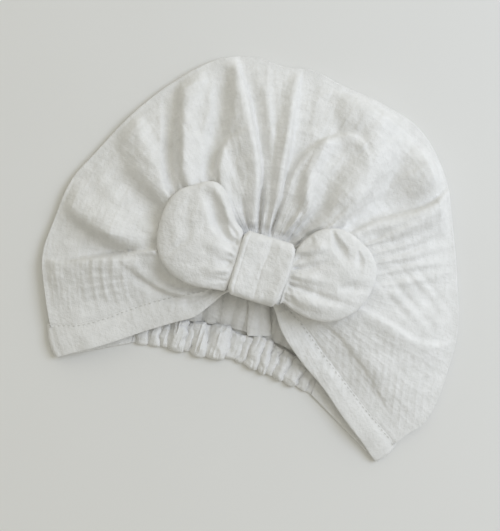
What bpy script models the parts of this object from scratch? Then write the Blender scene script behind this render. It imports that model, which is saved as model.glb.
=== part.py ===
"""Muslin turban cap lying flattened on its back, front up, with a bow on its gathered front.

Frame: +X to the cap's right in front view, +Y from the face opening to the crown's top, +Z up from the
surface that the cap lies on. The origin is on that surface, below the knot of the bow.
Sizes are in millimetres, and MM turns them into Blender's metres where a mesh is made.
"""

import math

import bpy
import numpy as np

MM = 0.001

# Cloth
GAUZE = 1.2  # wall of the crinkled double gauze
HEM_GAUZE = 2.0  # turned and stitched hem
BAND_GAUZE = 2.4  # folded band of the knot
GAP = 0.3  # between two pieces that lie against each other
BACK_GAP = 0.5  # between the crown's fold, whose end leans a little, and the back panel
FRONT_GAP = 0.8  # between the crown's left and right front, whose ends lean towards each other in a fold
FRONT_GAP_SHARE = 0.65  # most of a mesh cell that this gap takes, by the knot where the cells are small
HEM_CLEARANCE = 1.0  # from the hem's upper edge to the stitch line, so that it stays apart from the crown
RIM_RADIUS = 2.6  # soft fold where the front turns under to the back
HEM_RIM_RADIUS = 2.0

# Heights of the flattened bag above the surface it lies on
KNOT_REST = 13.4  # gathered cloth below the knot
CROWN_REST = 22.0  # loft of the crown away from the knot and the outline
HEM_REST_KNOT = 12.4  # front hem where it leaves the knot
HEM_REST_TIP = 6.0  # front hem near its tips
SLOPE_WIDTH = 48.0  # breadth of the slope from the outline to the full loft
SLOPE_POWER = 0.8  # 1 is a round slope, and less starts steeper
HOLLOW_FLOOR = 12.6  # valleys of the front stay above this over the head's space
HOLLOW_RADIUS = 62.0  # reach of that space from the knot
HOLLOW_END = 20.0  # breadth over which the floor of the valleys runs out
VALLEY_SOFTNESS = 1.2  # how softly a valley levels out on that floor

# Distances over which the front's height changes
KNOT_EDGE = 14.0  # from the knot's middle to where the crown starts to rise
KNOT_SLOPE = 34.0  # from there to the full loft
HEM_START = 24.0  # from the knot's middle to where the hem starts to sink
HEM_FALL = 90.0  # from there to its lowest
HEM_SLOPE = 34.0  # from the hem's free edge to the full loft
RIM_FADE = 16.0  # folds fade over this towards the outline
RIM_FOLDS = 0.2  # share of their height that folds keep at the outline
HEM_FADE = 6.0  # folds fade over this towards the hem's free edge

# Crown mesh
CROWN_COLUMNS = 84
CROWN_ROWS = 15
RIM_ROWS = 3
BACK_ROWS = 3
RIM_CROWDING = 1.15  # above 1 draws fewer rows towards the rim
LINE_SAMPLES = 80

# Hem mesh
HEM_COLUMNS = 4
HEM_ROWS = 18
HEM_BACK_ROWS = 5

# Bow and knot
KNOT_X = (-16.5, 13.5)
WAIST_Y = (-16.3, 15.3)
WAIST_Z = (17.0, 26.0)
LOBE_UNDERSIDE = 18.4
LOBE_THICKNESS = 12.5
LOBE_START = 14.0  # from the knot to a lobe's full thickness
LOBE_END = 26.0  # from a lobe's full thickness to its sewn end
END_SHARE = 0.22  # share of the thickness left at the sewn end
KNOT_CORNER = 5.0  # outer radius of the band's four bends
CORNER_STEPS = 4
# The band's outer face. Columns: share of the breadth, how far it is drawn in there, as a share of the wall.
KNOT_STATIONS = (
    (0.0, 0.4),
    (0.03, 0.14),
    (0.09, 0.0),
    (0.3, 0.0),
    (0.42, 0.06),
    (0.5, 0.17),
    (0.58, 0.12),
    (0.75, 0.04),
    (0.91, 0.0),
    (0.97, 0.14),
    (1.0, 0.4),
)

KNOT_CENTRE = np.array([-1.0, 0.0])

# Outline of the flattened cap from above, from the left tip of the front hem over the top to the right tip.
# Columns: x, y.
OUTLINE = (
    (-97.0, -82.0),
    (-106.5, -69.0),
    (-115.0, -50.5),
    (-123.5, -28.0),
    (-123.0, -8.0),
    (-119.5, 19.0),
    (-112.0, 35.0),
    (-98.5, 62.0),
    (-81.0, 87.0),
    (-55.0, 110.0),
    (-40.0, 114.5),
    (-22.0, 114.0),
    (-7.0, 116.8),
    (12.0, 113.5),
    (38.0, 110.0),
    (60.0, 103.5),
    (84.0, 80.5),
    (97.0, 53.0),
    (108.0, 25.0),
    (116.5, -2.0),
    (117.5, -25.0),
    (114.5, -51.0),
    (110.0, -60.0),
    (103.5, -65.5),
    (92.0, -86.0),
)

# Front hem from above: the free edge and the stitch line of each side, each from the knot to the tip.
HEM_LINES = {
    "left_edge": ((-10.5, -16.5), (-22.0, -26.5), (-50.0, -50.6), (-97.0, -82.0)),
    "left_stitch": ((-8.0, -10.5), (-27.0, -19.0), (-58.0, -37.5), (-106.5, -69.0)),
    "right_stitch": ((6.0, -10.5), (21.0, -19.0), (57.0, -42.5), (103.5, -65.5)),
    "right_edge": ((7.5, -16.5), (14.5, -25.0), (46.0, -51.5), (92.0, -86.0)),
}
START_RADIUS = 8.5  # small gathered ring under the knot, where the crown's folds start
COLLAR_RADIUS = 26.0  # ring of points round the knot
MIDDLE_SHARE = 0.42  # place of the crown's middle points between that ring and the outline
SIDE_SHARE = 0.06  # share of the crown's lines that bend over to follow the hems

# Nape edge from above: the lower and the upper edge of the ruffled casing, left to right.
CASING_LOWER = ((-58.0, -62.0), (-43.0, -59.6), (-22.0, -57.0), (2.0, -55.0), (24.0, -56.5), (45.0, -60.5))
CASING_UPPER = ((-58.0, -47.0), (-40.0, -43.0), (-20.0, -39.2), (2.0, -37.8), (24.0, -39.6), (45.0, -45.5))
FOLD_INSET = 1.5  # shortest strip of the back panel, at the side tips

# Folds of the crown's front. Each runs from near the knot (0) through a middle point (1) to the rim (2), has
# a height at each, negative for a valley, and a half-width on its left and right hand as it runs.
# Columns: x0, y0, x1, y1, x2, y2, height0, height1, height2, left, right.
FOLDS = {
    "left_band_edge": (-38, -12, -78, -17.5, -116, -28, 2.5, 4.5, 2.0, 13, 3),
    "left_band_valley": (-45, -7, -80, -11.5, -108, -14, -2.0, -4.5, -2.0, 4, 11),
    "left_band_roll": (-25, -20, -46, -26.5, -73, -20, 1.5, 3.0, 0.5, 3, 7),
    "left_band_dip": (-30, -23, -50, -31, -78, -34, -1.0, -2.0, -0.8, 5, 5),
    "left_under_lobe": (-36, -21, -50, -19, -66, -13, -2.0, -2.5, -0.5, 5, 5),
    "left_low_ridge": (-56, -5, -85, -5.5, -116, 3, 1.0, 4.5, 3.5, 7, 18),
    "left_long_valley": (-58, 12, -79, 29, -103, 49, -4.5, -4.5, -2.5, 18, 7),
    "left_long_ridge": (-54, 17, -79, 40, -99, 62, 2.5, 4.5, 2.5, 8, 10),
    "left_upper_valley": (-54, 22, -69, 47, -84, 86, -3.0, -5.0, -3.0, 7, 9),
    "left_upper_ridge": (-46, 28, -64, 53, -72, 93, 2.0, 4.5, 3.0, 9, 12),
    "left_inner_valley": (-36, 27, -48, 60, -54, 102, -3.0, -4.5, -3.0, 9, 8),
    "left_leaf": (-30, 26, -43, 50, -38, 69, 1.0, 2.2, 0.5, 5, 10),
    "top_left_ridge": (-12, 22, -22, 57, -49, 108, 3.0, 5.5, 3.5, 18, 3.5),
    "top_left_gap": (-11, 20, -17.5, 53, -35, 92, -3.0, -7.0, -2.0, 3, 9),
    "top_ridge": (-5, 22, -10, 60, -13, 112, 2.5, 5.0, 3.0, 12, 3.5),
    "top_gap": (-3, 22, -2.5, 48, 0, 88, -4.0, -5.5, -3.0, 3, 16),
    "dome_left_edge": (0, 24, -1, 57, 17, 83, 1.0, 1.5, 2.0, 3.5, 8),
    "dome_crest": (5, 22, 9.5, 52, 14, 80, 2.5, 4.5, 3.5, 6, 9),
    "dome_top": (14, 80, 27, 84, 42, 79, 2.0, 1.5, 0.5, 7, 9),
    "dome_hollow": (12, 22, 20, 52, 27, 74, -3.5, -4.5, -4.0, 7, 12),
    "right_upper_ridge": (22, 30, 35, 54, 46, 102, 2.0, 4.5, 4.0, 9, 18),
    "right_upper_valley": (34, 35, 60, 60, 86, 84, -3.5, -6.5, -4.5, 20, 4.5),
    "right_band_edge": (36, 29, 62, 51.5, 88, 75, 2.5, 5.0, 3.5, 4, 20),
    "right_side_valley": (56, 4, 84, 2, 113, -7, -1.5, -3.5, -3.5, 17, 7),
    "right_side_ridge": (50, -6, 78, -11, 112, -17, 2.0, 3.5, 3.0, 4, 16),
    "right_low_valley": (44, -14, 66, -22, 98, -42, -1.5, -2.5, -1.0, 9, 8),
    "right_low_ridge": (36, -14, 62, -31, 96, -56, 1.0, 2.5, 1.5, 9, 4),
}
FOLD_SAMPLES = 25
FOLD_START_WIDTH = 0.35  # share of a fold's width at the knot
NARROWEST_FOLD = 4.0  # folds narrower than the mesh are widened to this

# Where the bow presses the crown down: centre and half-axes of each rounded patch, and the height beneath it.
# Columns: x, y, half_x, half_y, height.
PRESS_SOFTNESS = 0.25  # breadth of a patch's soft rim, as a share of its half-axes
PRESSED = (
    (-40.0, 8.0, 25.0, 30.0, 16.4),
    (36.0, 7.0, 26.0, 27.0, 16.4),
    (-1.5, -0.5, 18.3, 21.6, KNOT_REST),
)

# Gathers that radiate from the upper edge of the knot
GATHERS = 34
GATHER_HEIGHT = 1.1
GATHER_START = 6.0  # over which they grow, outwards from the knot's edge
GATHER_REACH = 26.0  # over which they fade

# Sections of the bow from its left end to its right end: place, lower edge and upper edge.
# Columns: x, low y, high y.
BOW_SECTIONS = (
    (-63.0, 9.0, 11.0),
    (-62.4, 1.0, 18.0),
    (-60.5, -5.5, 24.0),
    (-57.0, -11.0, 29.0),
    (-50.0, -16.5, 34.5),
    (-44.0, -19.2, 37.8),
    (-39.0, -20.3, 38.3),
    (-34.0, -20.3, 35.5),
    (-30.0, -20.0, 30.8),
    (-26.0, -19.4, 25.2),
    (-22.0, -18.7, 20.6),
    (-17.6, -17.4, 16.6),
    (KNOT_X[0] - GAP, WAIST_Y[0], WAIST_Y[1]),
    (KNOT_X[1] + GAP, WAIST_Y[0], WAIST_Y[1]),
    (15.2, -15.2, 19.0),
    (17.5, -15.6, 23.0),
    (21.0, -16.8, 27.6),
    (26.0, -18.2, 31.4),
    (33.0, -19.0, 33.6),
    (40.0, -18.4, 33.0),
    (46.5, -15.8, 30.6),
    (52.5, -10.8, 27.0),
    (57.0, -5.0, 22.8),
    (60.0, 3.0, 17.5),
    (60.8, 9.0, 12.0),
)
BOW_RING = 18
# Creases of the bow's lobes, in the same columns as the folds of the crown.
BOW_FOLDS = {
    "left_rolled_edge": (-18, 14, -31, 29, -46, 37, 1.0, 2.5, 0.8, 5, 4),
    "left_deep_crease": (-18, 9.5, -31, 14, -40, 29, -1.5, -4.0, -1.0, 5, 5),
    "left_small_crease": (-16, -2.5, -21, -2.7, -27, -3, -1.5, -1.0, 0.0, 3, 3),
    "right_top_crease": (27, 33, 35, 24, 44, 17, -1.0, -3.0, -0.8, 5, 4),
    "right_upper_crease": (14, 5, 22, 7.5, 34, 14, -2.0, -2.2, -0.6, 4, 4),
    "right_lower_crease": (14, -4, 26, -5, 50, -5, -2.0, -1.5, -0.4, 4, 4),
    "right_end_dent": (44, 3, 51, 5, 58, 6, -0.4, -1.6, -0.8, 5, 5),
}
BOW_RINGS_PER_LOBE = 17

# Ruffles of the casing, left to right: place along its lower edge, half-width, height above the plain casing,
# and how far its upper end leans to the right.
# Columns: place, half, height, lean.
RUFFLES = (
    (-52.5, 3.4, 1.3, -1.0),
    (-45.5, 3.6, 1.8, -4.0),
    (-36.5, 5.2, 2.8, -3.0),
    (-28.6, 3.4, 1.8, -1.0),
    (-21.5, 4.4, 2.6, -4.5),
    (-13.6, 5.4, 2.8, 0.0),
    (-5.2, 4.2, 2.0, 1.0),
    (3.4, 4.2, 3.0, 0.0),
    (12.6, 4.8, 3.4, 1.0),
    (21.4, 3.8, 2.0, 0.5),
    (29.0, 3.8, 2.4, 1.5),
    (37.2, 4.4, 2.0, 4.0),
)
CASING_PLAIN = 2.8  # thickness between two ruffles
CASING_SECTIONS = 72
CASING_RING = 12
CASING_ROUND = (0.7, 0.6)  # powers of its oval across and upwards: less than 1 is squarer
RUFFLE_ROUND = 0.8
CASING_SCALLOP = 1.3  # how far a ruffle's ends stand out of the casing's edges

# Seam allowance inside the centre back: centre line from the casing to the crown's top, and its breadth.
SEAM_LINE = ((8.2, -34.8), (5.0, -27.0), (2.6, -15.0), (1.0, 20.0), (-2.0, 92.0))
SEAM_BREADTH = 12.5
SEAM_THICKNESS = 2.0
SEAM_SECTIONS = 14
# Its cross-section, as shares of the breadth and of the thickness. Columns: across, up.
SEAM_PROFILE = ((-0.5, 0.0), (-0.5, 0.55), (-0.3, 1.0), (0.3, 1.0), (0.5, 0.55), (0.5, 0.0))


def clear_scene():
    for obj in list(bpy.data.objects):
        bpy.data.objects.remove(obj, do_unlink=True)


def ease(value):
    """0 to 1 with level ends."""
    t = np.clip(value, 0.0, 1.0)
    return t * t * (3.0 - 2.0 * t)


def smooth_path(points, count):
    """count points along a smooth curve through the given points, spaced evenly by length."""
    p = np.asarray(points, float)
    knots = np.concatenate([[0.0], np.cumsum(np.linalg.norm(np.diff(p, axis=0), axis=1))])
    slopes = np.gradient(p, knots, axis=0)
    fine = np.linspace(0.0, knots[-1], 40 * len(p))
    piece = np.clip(np.searchsorted(knots, fine, side="right") - 1, 0, len(p) - 2)
    span = (knots[piece + 1] - knots[piece])[:, None]
    t = (fine - knots[piece])[:, None] / span
    curve = (
        (2 * t**3 - 3 * t**2 + 1) * p[piece]
        + (t**3 - 2 * t**2 + t) * span * slopes[piece]
        + (3 * t**2 - 2 * t**3) * p[piece + 1]
        + (t**3 - t**2) * span * slopes[piece + 1]
    )
    along = np.concatenate([[0.0], np.cumsum(np.linalg.norm(np.diff(curve, axis=0), axis=1))])
    even = np.linspace(0.0, along[-1], count)
    return np.stack([np.interp(even, along, curve[:, axis]) for axis in (0, 1)], axis=1)


def even_path(points, count):
    """count points spaced evenly along straight runs through the given points."""
    p = np.asarray(points, float)
    along = np.concatenate([[0.0], np.cumsum(np.linalg.norm(np.diff(p, axis=0), axis=1))])
    even = np.linspace(0.0, along[-1], count)
    return np.stack([np.interp(even, along, p[:, axis]) for axis in (0, 1)], axis=1)


def measure_to_path(x, y, path):
    """Distance from each point to the path, positive on its left hand, and the share of its length there."""
    start = path[:-1]
    step = np.diff(path, axis=0)
    length = np.linalg.norm(step, axis=1)
    dx = x[..., None] - start[:, 0]
    dy = y[..., None] - start[:, 1]
    share = np.clip((dx * step[:, 0] + dy * step[:, 1]) / length**2, 0.0, 1.0)
    away_x = dx - share * step[:, 0]
    away_y = dy - share * step[:, 1]
    distance = np.hypot(away_x, away_y)
    nearest = np.argmin(distance, axis=-1)[..., None]
    side = np.sign(step[:, 0] * away_y - step[:, 1] * away_x)
    along = (np.concatenate([[0.0], np.cumsum(length)])[:-1] + share * length) / length.sum()
    picked = [np.take_along_axis(a, nearest, axis=-1)[..., 0] for a in (distance, side, along)]
    return picked[0] * np.where(picked[1] < 0, -1.0, 1.0), picked[2]


def fold_relief(x, y, folds, narrowest=NARROWEST_FOLD):
    """Sum of the folds' heights at each point: each is a rounded ridge or valley with its own flanks."""
    relief = np.zeros_like(x)
    for x0, y0, x1, y1, x2, y2, h0, h1, h2, left, right in folds.values():
        path = smooth_path(((x0, y0), (x1, y1), (x2, y2)), FOLD_SAMPLES)
        distance, along = measure_to_path(x, y, path)
        grown = FOLD_START_WIDTH + (1.0 - FOLD_START_WIDTH) * ease(along * 2.0)
        flank = np.maximum(np.where(distance > 0, left, right) * grown, narrowest)
        height = np.interp(along, (0.0, 0.5, 1.0), (h0, h1, h2))
        relief += height * np.clip(1.0 - (distance / flank) ** 2, 0.0, 1.0) ** 2
    return relief


OUTLINE_PATH = smooth_path(OUTLINE, 260)
HEM_EDGE_PATHS = [smooth_path(HEM_LINES[name], 40) for name in ("left_edge", "right_edge")]


def rise_from_rim(distance):
    """0 at the outline with a steep start, 1 at the full loft."""
    t = np.clip(1.0 - distance / SLOPE_WIDTH, 0.0, 1.0)
    return (1.0 - t**2) ** SLOPE_POWER


def front_height(x, y, rim_height):
    """Height of the middle of the cloth over the whole front of the bag, as a function of place."""
    from_rim = np.abs(measure_to_path(x, y, OUTLINE_PATH)[0])
    from_hem = np.minimum(*[np.abs(measure_to_path(x, y, path)[0]) for path in HEM_EDGE_PATHS])
    from_knot = np.hypot(x - KNOT_CENTRE[0], y - KNOT_CENTRE[1])
    loft = KNOT_REST + (CROWN_REST - KNOT_REST) * ease((from_knot - KNOT_EDGE) / KNOT_SLOPE)
    hem = HEM_REST_KNOT + (HEM_REST_TIP - HEM_REST_KNOT) * ease((from_knot - HEM_START) / HEM_FALL)
    loft = hem + (loft - hem) * ease(from_hem / HEM_SLOPE)
    rise = rise_from_rim(from_rim)
    smooth = rim_height + (loft - rim_height) * rise
    turn = np.arctan2(y - KNOT_CENTRE[1], x - KNOT_CENTRE[0])
    gathers = GATHER_HEIGHT * np.cos(GATHERS * turn) * ease((from_knot - KNOT_EDGE) / GATHER_START)
    gathers *= 1.0 - ease((from_knot - KNOT_EDGE - GATHER_START) / GATHER_REACH)
    relief = (fold_relief(x, y, FOLDS) + gathers) * np.clip(from_rim / RIM_FADE, RIM_FOLDS, 1.0)
    height = smooth + relief * ease(from_hem / HEM_FADE)
    over_head = 1.0 - ease((from_knot - HOLLOW_RADIUS) / HOLLOW_END)
    lowest = rim_height + (HOLLOW_FLOOR - rim_height) * over_head * ease(from_hem / HEM_FADE) * rise
    height = lowest + np.logaddexp(0.0, (height - lowest) / VALLEY_SOFTNESS) * VALLEY_SOFTNESS
    for cx, cy, half_x, half_y, rest in PRESSED:
        reach = (((x - cx) / half_x) ** 4 + ((y - cy) / half_y) ** 4) ** 0.25
        pressed = 1.0 - ease((reach - 1.0) / PRESS_SOFTNESS)
        height += (np.minimum(height, rest) - height) * pressed
    return height


def crown_columns(count):
    """Start, collar, middle and rim point of each line of the crown from the knot to the outline."""
    rim = smooth_path(OUTLINE[1:-1], count)
    share = np.linspace(0.0, 1.0, count)
    near_left = np.exp(-share / SIDE_SHARE)
    near_right = np.exp(-(1.0 - share) / SIDE_SHARE)
    left = np.array(HEM_LINES["left_stitch"])
    right = np.array(HEM_LINES["right_stitch"])
    offset = rim - KNOT_CENTRE
    turn = np.unwrap(np.arctan2(offset[:, 1], offset[:, 0]))
    turns = [np.arctan2(*(line[1] - KNOT_CENTRE)[::-1]) for line in (left, right)]
    full = 2.0 * math.pi
    turn = turn + near_left * (turns[0] - turn[0] + full * round((turn[0] - turns[0]) / full))
    turn = turn + near_right * (turns[1] - turn[-1] + full * round((turn[-1] - turns[1]) / full))
    radii = [np.linalg.norm(line[1] - KNOT_CENTRE) - COLLAR_RADIUS for line in (left, right)]
    radius = COLLAR_RADIUS + near_left * radii[0] + near_right * radii[1]
    direction = np.stack([np.cos(turn), np.sin(turn)], axis=1)
    collar = KNOT_CENTRE + radius[:, None] * direction
    start = (left[0] + right[0]) / 2.0 + (0.0, START_RADIUS / 2.0) + START_RADIUS * direction
    start += near_left[:, None] * (left[0] - start[0]) + near_right[:, None] * (right[0] - start[-1])
    middle = collar + MIDDLE_SHARE * (rim - collar)
    middle += near_left[:, None] * (left[2] - middle[0]) + near_right[:, None] * (right[2] - middle[-1])
    return start, collar, middle, rim


def lines_through(start, collar, middle, rim, rows):
    """rows points along each smooth line through the four points, closer together near the rim."""
    spread = np.sin(np.linspace(0.0, math.pi / 2.0, rows)) ** RIM_CROWDING
    even = np.linspace(0.0, 1.0, LINE_SAMPLES)
    lines = []
    for points in zip(start, collar, middle, rim):
        dense = smooth_path(points, LINE_SAMPLES)
        lines.append(np.stack([np.interp(spread, even, dense[:, axis]) for axis in (0, 1)], axis=1))
    return np.array(lines)


def outward(rim):
    """Unit normals of the outline, pointing away from the cap. The outline runs clockwise."""
    along = np.gradient(rim, axis=0)
    along /= np.linalg.norm(along, axis=1)[:, None]
    return np.stack([-along[:, 1], along[:, 0]], axis=1)


def bag_sheet(front, back_end, normals, thickness, radius, back_rows):
    """Grid of the cloth's middle: the front out to the outline, a soft fold, and the back on the floor."""
    low = thickness / 2.0
    rim_height = low + radius
    columns = []
    heights = front_height(front[..., 0], front[..., 1], rim_height)
    heights[:, -1] = rim_height
    rim = front[:, -1]
    columns.append(np.concatenate([front, heights[..., None]], axis=2))
    for row in range(1, RIM_ROWS + 1):
        angle = row / RIM_ROWS * math.pi / 2.0
        place = rim - normals * radius * (1.0 - math.cos(angle))
        level = np.full((len(rim), 1), rim_height - radius * math.sin(angle))
        columns.append(np.concatenate([place, level], axis=1)[:, None])
    foot = rim - normals * radius
    for row in range(1, back_rows + 1):
        place = foot + (back_end - foot) * row / back_rows
        columns.append(np.concatenate([place, np.full((len(rim), 1), low)], axis=1)[:, None])
    return np.concatenate(columns, axis=1)


def grid_faces(columns, rows):
    """Quads of a grid whose points run row by row within each column."""
    faces = []
    for column in range(columns - 1):
        here, after = column * rows, (column + 1) * rows
        for row in range(rows - 1):
            faces.append((here + row, here + row + 1, after + row + 1, after + row))
    return faces


def tube_faces(sections, ring):
    """Quads of a closed tube whose rings of points follow each other, with a flat face at each end."""
    faces = grid_faces(sections, ring)
    for section in range(sections - 1):
        here, after = section * ring, (section + 1) * ring
        faces.append((here + ring - 1, here, after, after + ring - 1))
    last = (sections - 1) * ring
    faces.append(tuple(reversed(range(ring))))
    faces.append(tuple(last + i for i in range(ring)))
    return faces


def make_material(name, colour, roughness):
    material = bpy.data.materials.new(name)
    material.use_nodes = True
    shader = material.node_tree.nodes["Principled BSDF"]
    shader.inputs["Base Color"].default_value = (*colour, 1.0)
    shader.inputs["Roughness"].default_value = roughness
    shader.inputs["Metallic"].default_value = 0.0
    return material


def add_object(name, points, faces, material):
    mesh = bpy.data.meshes.new(name)
    mesh.from_pydata((np.asarray(points).reshape(-1, 3) * MM).tolist(), [], faces)
    mesh.validate()
    mesh.shade_smooth()
    obj = bpy.data.objects.new(name, mesh)
    obj.data.materials.append(material)
    bpy.context.scene.collection.objects.link(obj)
    return obj


def add_cloth(name, sheet, thickness, material):
    """A sheet of points made into cloth of that thickness, half to each side."""
    columns, rows = sheet.shape[:2]
    obj = add_object(name, sheet, grid_faces(columns, rows), material)
    solid = obj.modifiers.new("Cloth", "SOLIDIFY")
    solid.thickness = thickness * MM
    solid.offset = 0.0
    return obj


def build_crown(material):
    """One bag of cloth in three nodes, two fronts with their fold and a back, so that the hollow stays open."""
    start, collar, middle, rim = crown_columns(CROWN_COLUMNS)
    front = lines_through(start, collar, middle, rim, CROWN_ROWS)
    upper = smooth_path(CASING_UPPER, 60) + (0.0, GAP + CASING_SCALLOP)
    ends = [rim[i] - outward(rim)[i] * (RIM_RADIUS + FOLD_INSET) for i in (0, -1)]
    back_end = even_path(np.concatenate([ends[:1], upper, ends[1:]]), CROWN_COLUMNS)
    sheet = bag_sheet(front, back_end, outward(rim), GAUZE, RIM_RADIUS, BACK_ROWS)
    foot = sheet.shape[1] - 1 - BACK_ROWS
    back = sheet[:, foot:].copy()
    inward = back[:, 1] - back[:, 0]
    back[:, 0] += inward / np.linalg.norm(inward, axis=1)[:, None] * BACK_GAP
    top = sheet.shape[0] // 2
    left = sheet[:top + 1, :foot + 1]
    right = sheet[top:, :foot + 1].copy()
    rightward = right[1] - right[0]
    right[0] += rightward * np.minimum(FRONT_GAP / np.linalg.norm(rightward, axis=1), FRONT_GAP_SHARE)[:, None]
    add_cloth("crown_left", left, GAUZE, material)
    add_cloth("crown_right", right, GAUZE, material)
    add_cloth("crown_back", back, GAUZE, material)


def keep_clear(edge, stitch):
    """Share of the hem's breadth that it fills, so that it stays clear of the crown."""
    return 1.0 - HEM_CLEARANCE / np.linalg.norm(stitch - edge)


def build_hem(side, material):
    """Front hem of one side: a double strip from the knot to the tip, round the fold, to the casing."""
    edge = np.array(HEM_LINES[side + "_edge"])
    stitch = np.array(HEM_LINES[side + "_stitch"])
    end = -1 if side == "right" else 0
    foot = np.array(CASING_LOWER[end])
    top = np.array(CASING_UPPER[end]) + (0.0, GAP + CASING_SCALLOP)
    away = GAP if side == "right" else -GAP
    across = np.linspace(0.0, 1.0, HEM_COLUMNS)[:, None]
    corners = [a + (b - a) * across * keep_clear(a, b) for a, b in zip(edge, stitch)]
    front = lines_through(*corners, HEM_ROWS)
    back_end = foot + (top - foot) * across * keep_clear(foot, top) + (away, 0.0)
    normals = outward(front[:, -1]) * (-1.0 if side == "right" else 1.0)
    sheet = bag_sheet(front, back_end, normals, HEM_GAUZE, HEM_RIM_RADIUS, HEM_BACK_ROWS)
    return add_cloth("hem_" + side, sheet, HEM_GAUZE, material)


def build_casing(material):
    """Ruffled tube of cloth over the elastic at the nape."""
    lower = smooth_path(CASING_LOWER, CASING_SECTIONS)
    upper = smooth_path(CASING_UPPER, CASING_SECTIONS)
    ring = np.linspace(0.0, 2.0 * math.pi, CASING_RING, endpoint=False)
    across = 0.5 - 0.5 * np.sign(np.cos(ring)) * np.abs(np.cos(ring)) ** CASING_ROUND[0]
    lift = np.maximum(np.sin(ring), 0.0) ** CASING_ROUND[1]
    place = lower[:, None] + (upper - lower)[:, None] * across[:, None]
    bulge = np.zeros(place.shape[:2])
    for at, half, height, lean in RUFFLES:
        distance = place[..., 0] - at - lean * across
        bulge = np.maximum(bulge, height * np.clip(1.0 - (distance / half) ** 2, 0.0, 1.0) ** RUFFLE_ROUND)
    strength = bulge / max(row[2] for row in RUFFLES)
    outwards = (across - 0.5)[None, :, None] * 2.0
    place = place + outwards * strength[..., None] * np.array([0.0, CASING_SCALLOP])
    height = lift * (CASING_PLAIN + bulge)
    points = np.concatenate([place, height[..., None]], axis=2)
    faces = [face[::-1] for face in tube_faces(CASING_SECTIONS, CASING_RING)]
    return add_object("back_casing", points, faces, material)


def build_seam(material):
    """Flat seam allowance on the inside of the back."""
    line = smooth_path(SEAM_LINE, SEAM_SECTIONS)
    along = np.gradient(line, axis=0)
    along /= np.linalg.norm(along, axis=1)[:, None]
    right = np.stack([along[:, 1], -along[:, 0]], axis=1)
    low = GAUZE + GAP
    points = []
    for place, sideways in zip(line, right):
        for across, up in SEAM_PROFILE:
            points.append((*(place + sideways * across * SEAM_BREADTH), low + up * SEAM_THICKNESS))
    return add_object("back_seam", points, tube_faces(SEAM_SECTIONS, len(SEAM_PROFILE)), material)


def bow_section_places():
    """Places of the bow's sections along X: closer together at its ends and at the waist."""
    left_end, right_end = BOW_SECTIONS[0][0], BOW_SECTIONS[-1][0]
    share = np.linspace(0.0, 1.0, BOW_RINGS_PER_LOBE)
    spread = 0.5 - 0.5 * np.cos(math.pi * share**0.8)
    left = left_end + (KNOT_X[0] - GAP - left_end) * spread
    right = right_end + (KNOT_X[1] + GAP - right_end) * spread
    return np.concatenate([left[1:], [np.mean(KNOT_X)], right[1:][::-1]])


def bow_thickness(x):
    """Thickness of the padded strip: waist inside the knot, full lobes, thin sewn ends."""
    waist = WAIST_Z[1] - WAIST_Z[0]
    past = np.maximum(KNOT_X[0] - x, x - KNOT_X[1]) - 2.0 * GAP
    left_end, right_end = BOW_SECTIONS[0][0], BOW_SECTIONS[-1][0]
    to_end = np.minimum(x - left_end, right_end - x)
    full = waist + (LOBE_THICKNESS - waist) * ease(past / LOBE_START)
    roundness = np.sqrt(1.0 - np.clip(1.0 - to_end / LOBE_END, 0.0, 1.0) ** 2)
    return full * (END_SHARE + (1.0 - END_SHARE) * roundness)


def build_bow(material):
    """Padded strip with two lobes, pinched where the knot goes round it."""
    table = np.array(BOW_SECTIONS)
    x = bow_section_places()
    low_line = smooth_path(table[:, (0, 1)], 600)
    high_line = smooth_path(table[:, (0, 2)], 600)
    low = np.interp(x, low_line[:, 0], low_line[:, 1])
    high = np.interp(x, high_line[:, 0], high_line[:, 1])
    inside = (x > KNOT_X[0] - 2.0 * GAP) & (x < KNOT_X[1] + 2.0 * GAP)
    low = np.where(inside, WAIST_Y[0], low)
    high = np.where(inside, WAIST_Y[1], high)
    ring = np.linspace(0.0, 2.0 * math.pi, BOW_RING, endpoint=False)
    cosine = np.sign(np.cos(ring)) * np.abs(np.cos(ring)) ** 0.9
    sine = np.sign(np.sin(ring)) * np.abs(np.sin(ring)) ** 0.75
    y = (low + high)[:, None] / 2.0 + (high - low)[:, None] / 2.0 * cosine
    place_x = np.broadcast_to(x[:, None], y.shape)
    thickness = bow_thickness(x)[:, None]
    past = np.maximum(KNOT_X[0] - x, x - KNOT_X[1])[:, None] - 2.0 * GAP
    under = WAIST_Z[0] + (LOBE_UNDERSIDE - WAIST_Z[0]) * ease(past / 8.0)
    lift = (LOBE_THICKNESS - thickness) * 0.35 * (past > 0)
    z = under + lift + thickness * (0.5 + 0.5 * sine)
    relief = fold_relief(place_x, y, BOW_FOLDS) * np.clip(sine, 0.0, 1.0) * ease(past / 3.0)
    points = np.stack([place_x, y, z + relief], axis=2)
    return add_object("bow", points, tube_faces(len(x), BOW_RING), material)


def rounded_ring(half_y, half_z, corner, steps):
    """Closed rounded rectangle about the origin in the YZ plane, anticlockwise."""
    points = []
    for side_y, side_z, first in ((1, 1, 0.0), (-1, 1, 0.5), (-1, -1, 1.0), (1, -1, 1.5)):
        for step in range(steps + 1):
            angle = (first + 0.5 * step / steps) * math.pi
            y = side_y * (half_y - corner) + corner * math.cos(angle)
            z = side_z * (half_z - corner) + corner * math.sin(angle)
            points.append((y, z))
    return np.array(points)


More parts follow.
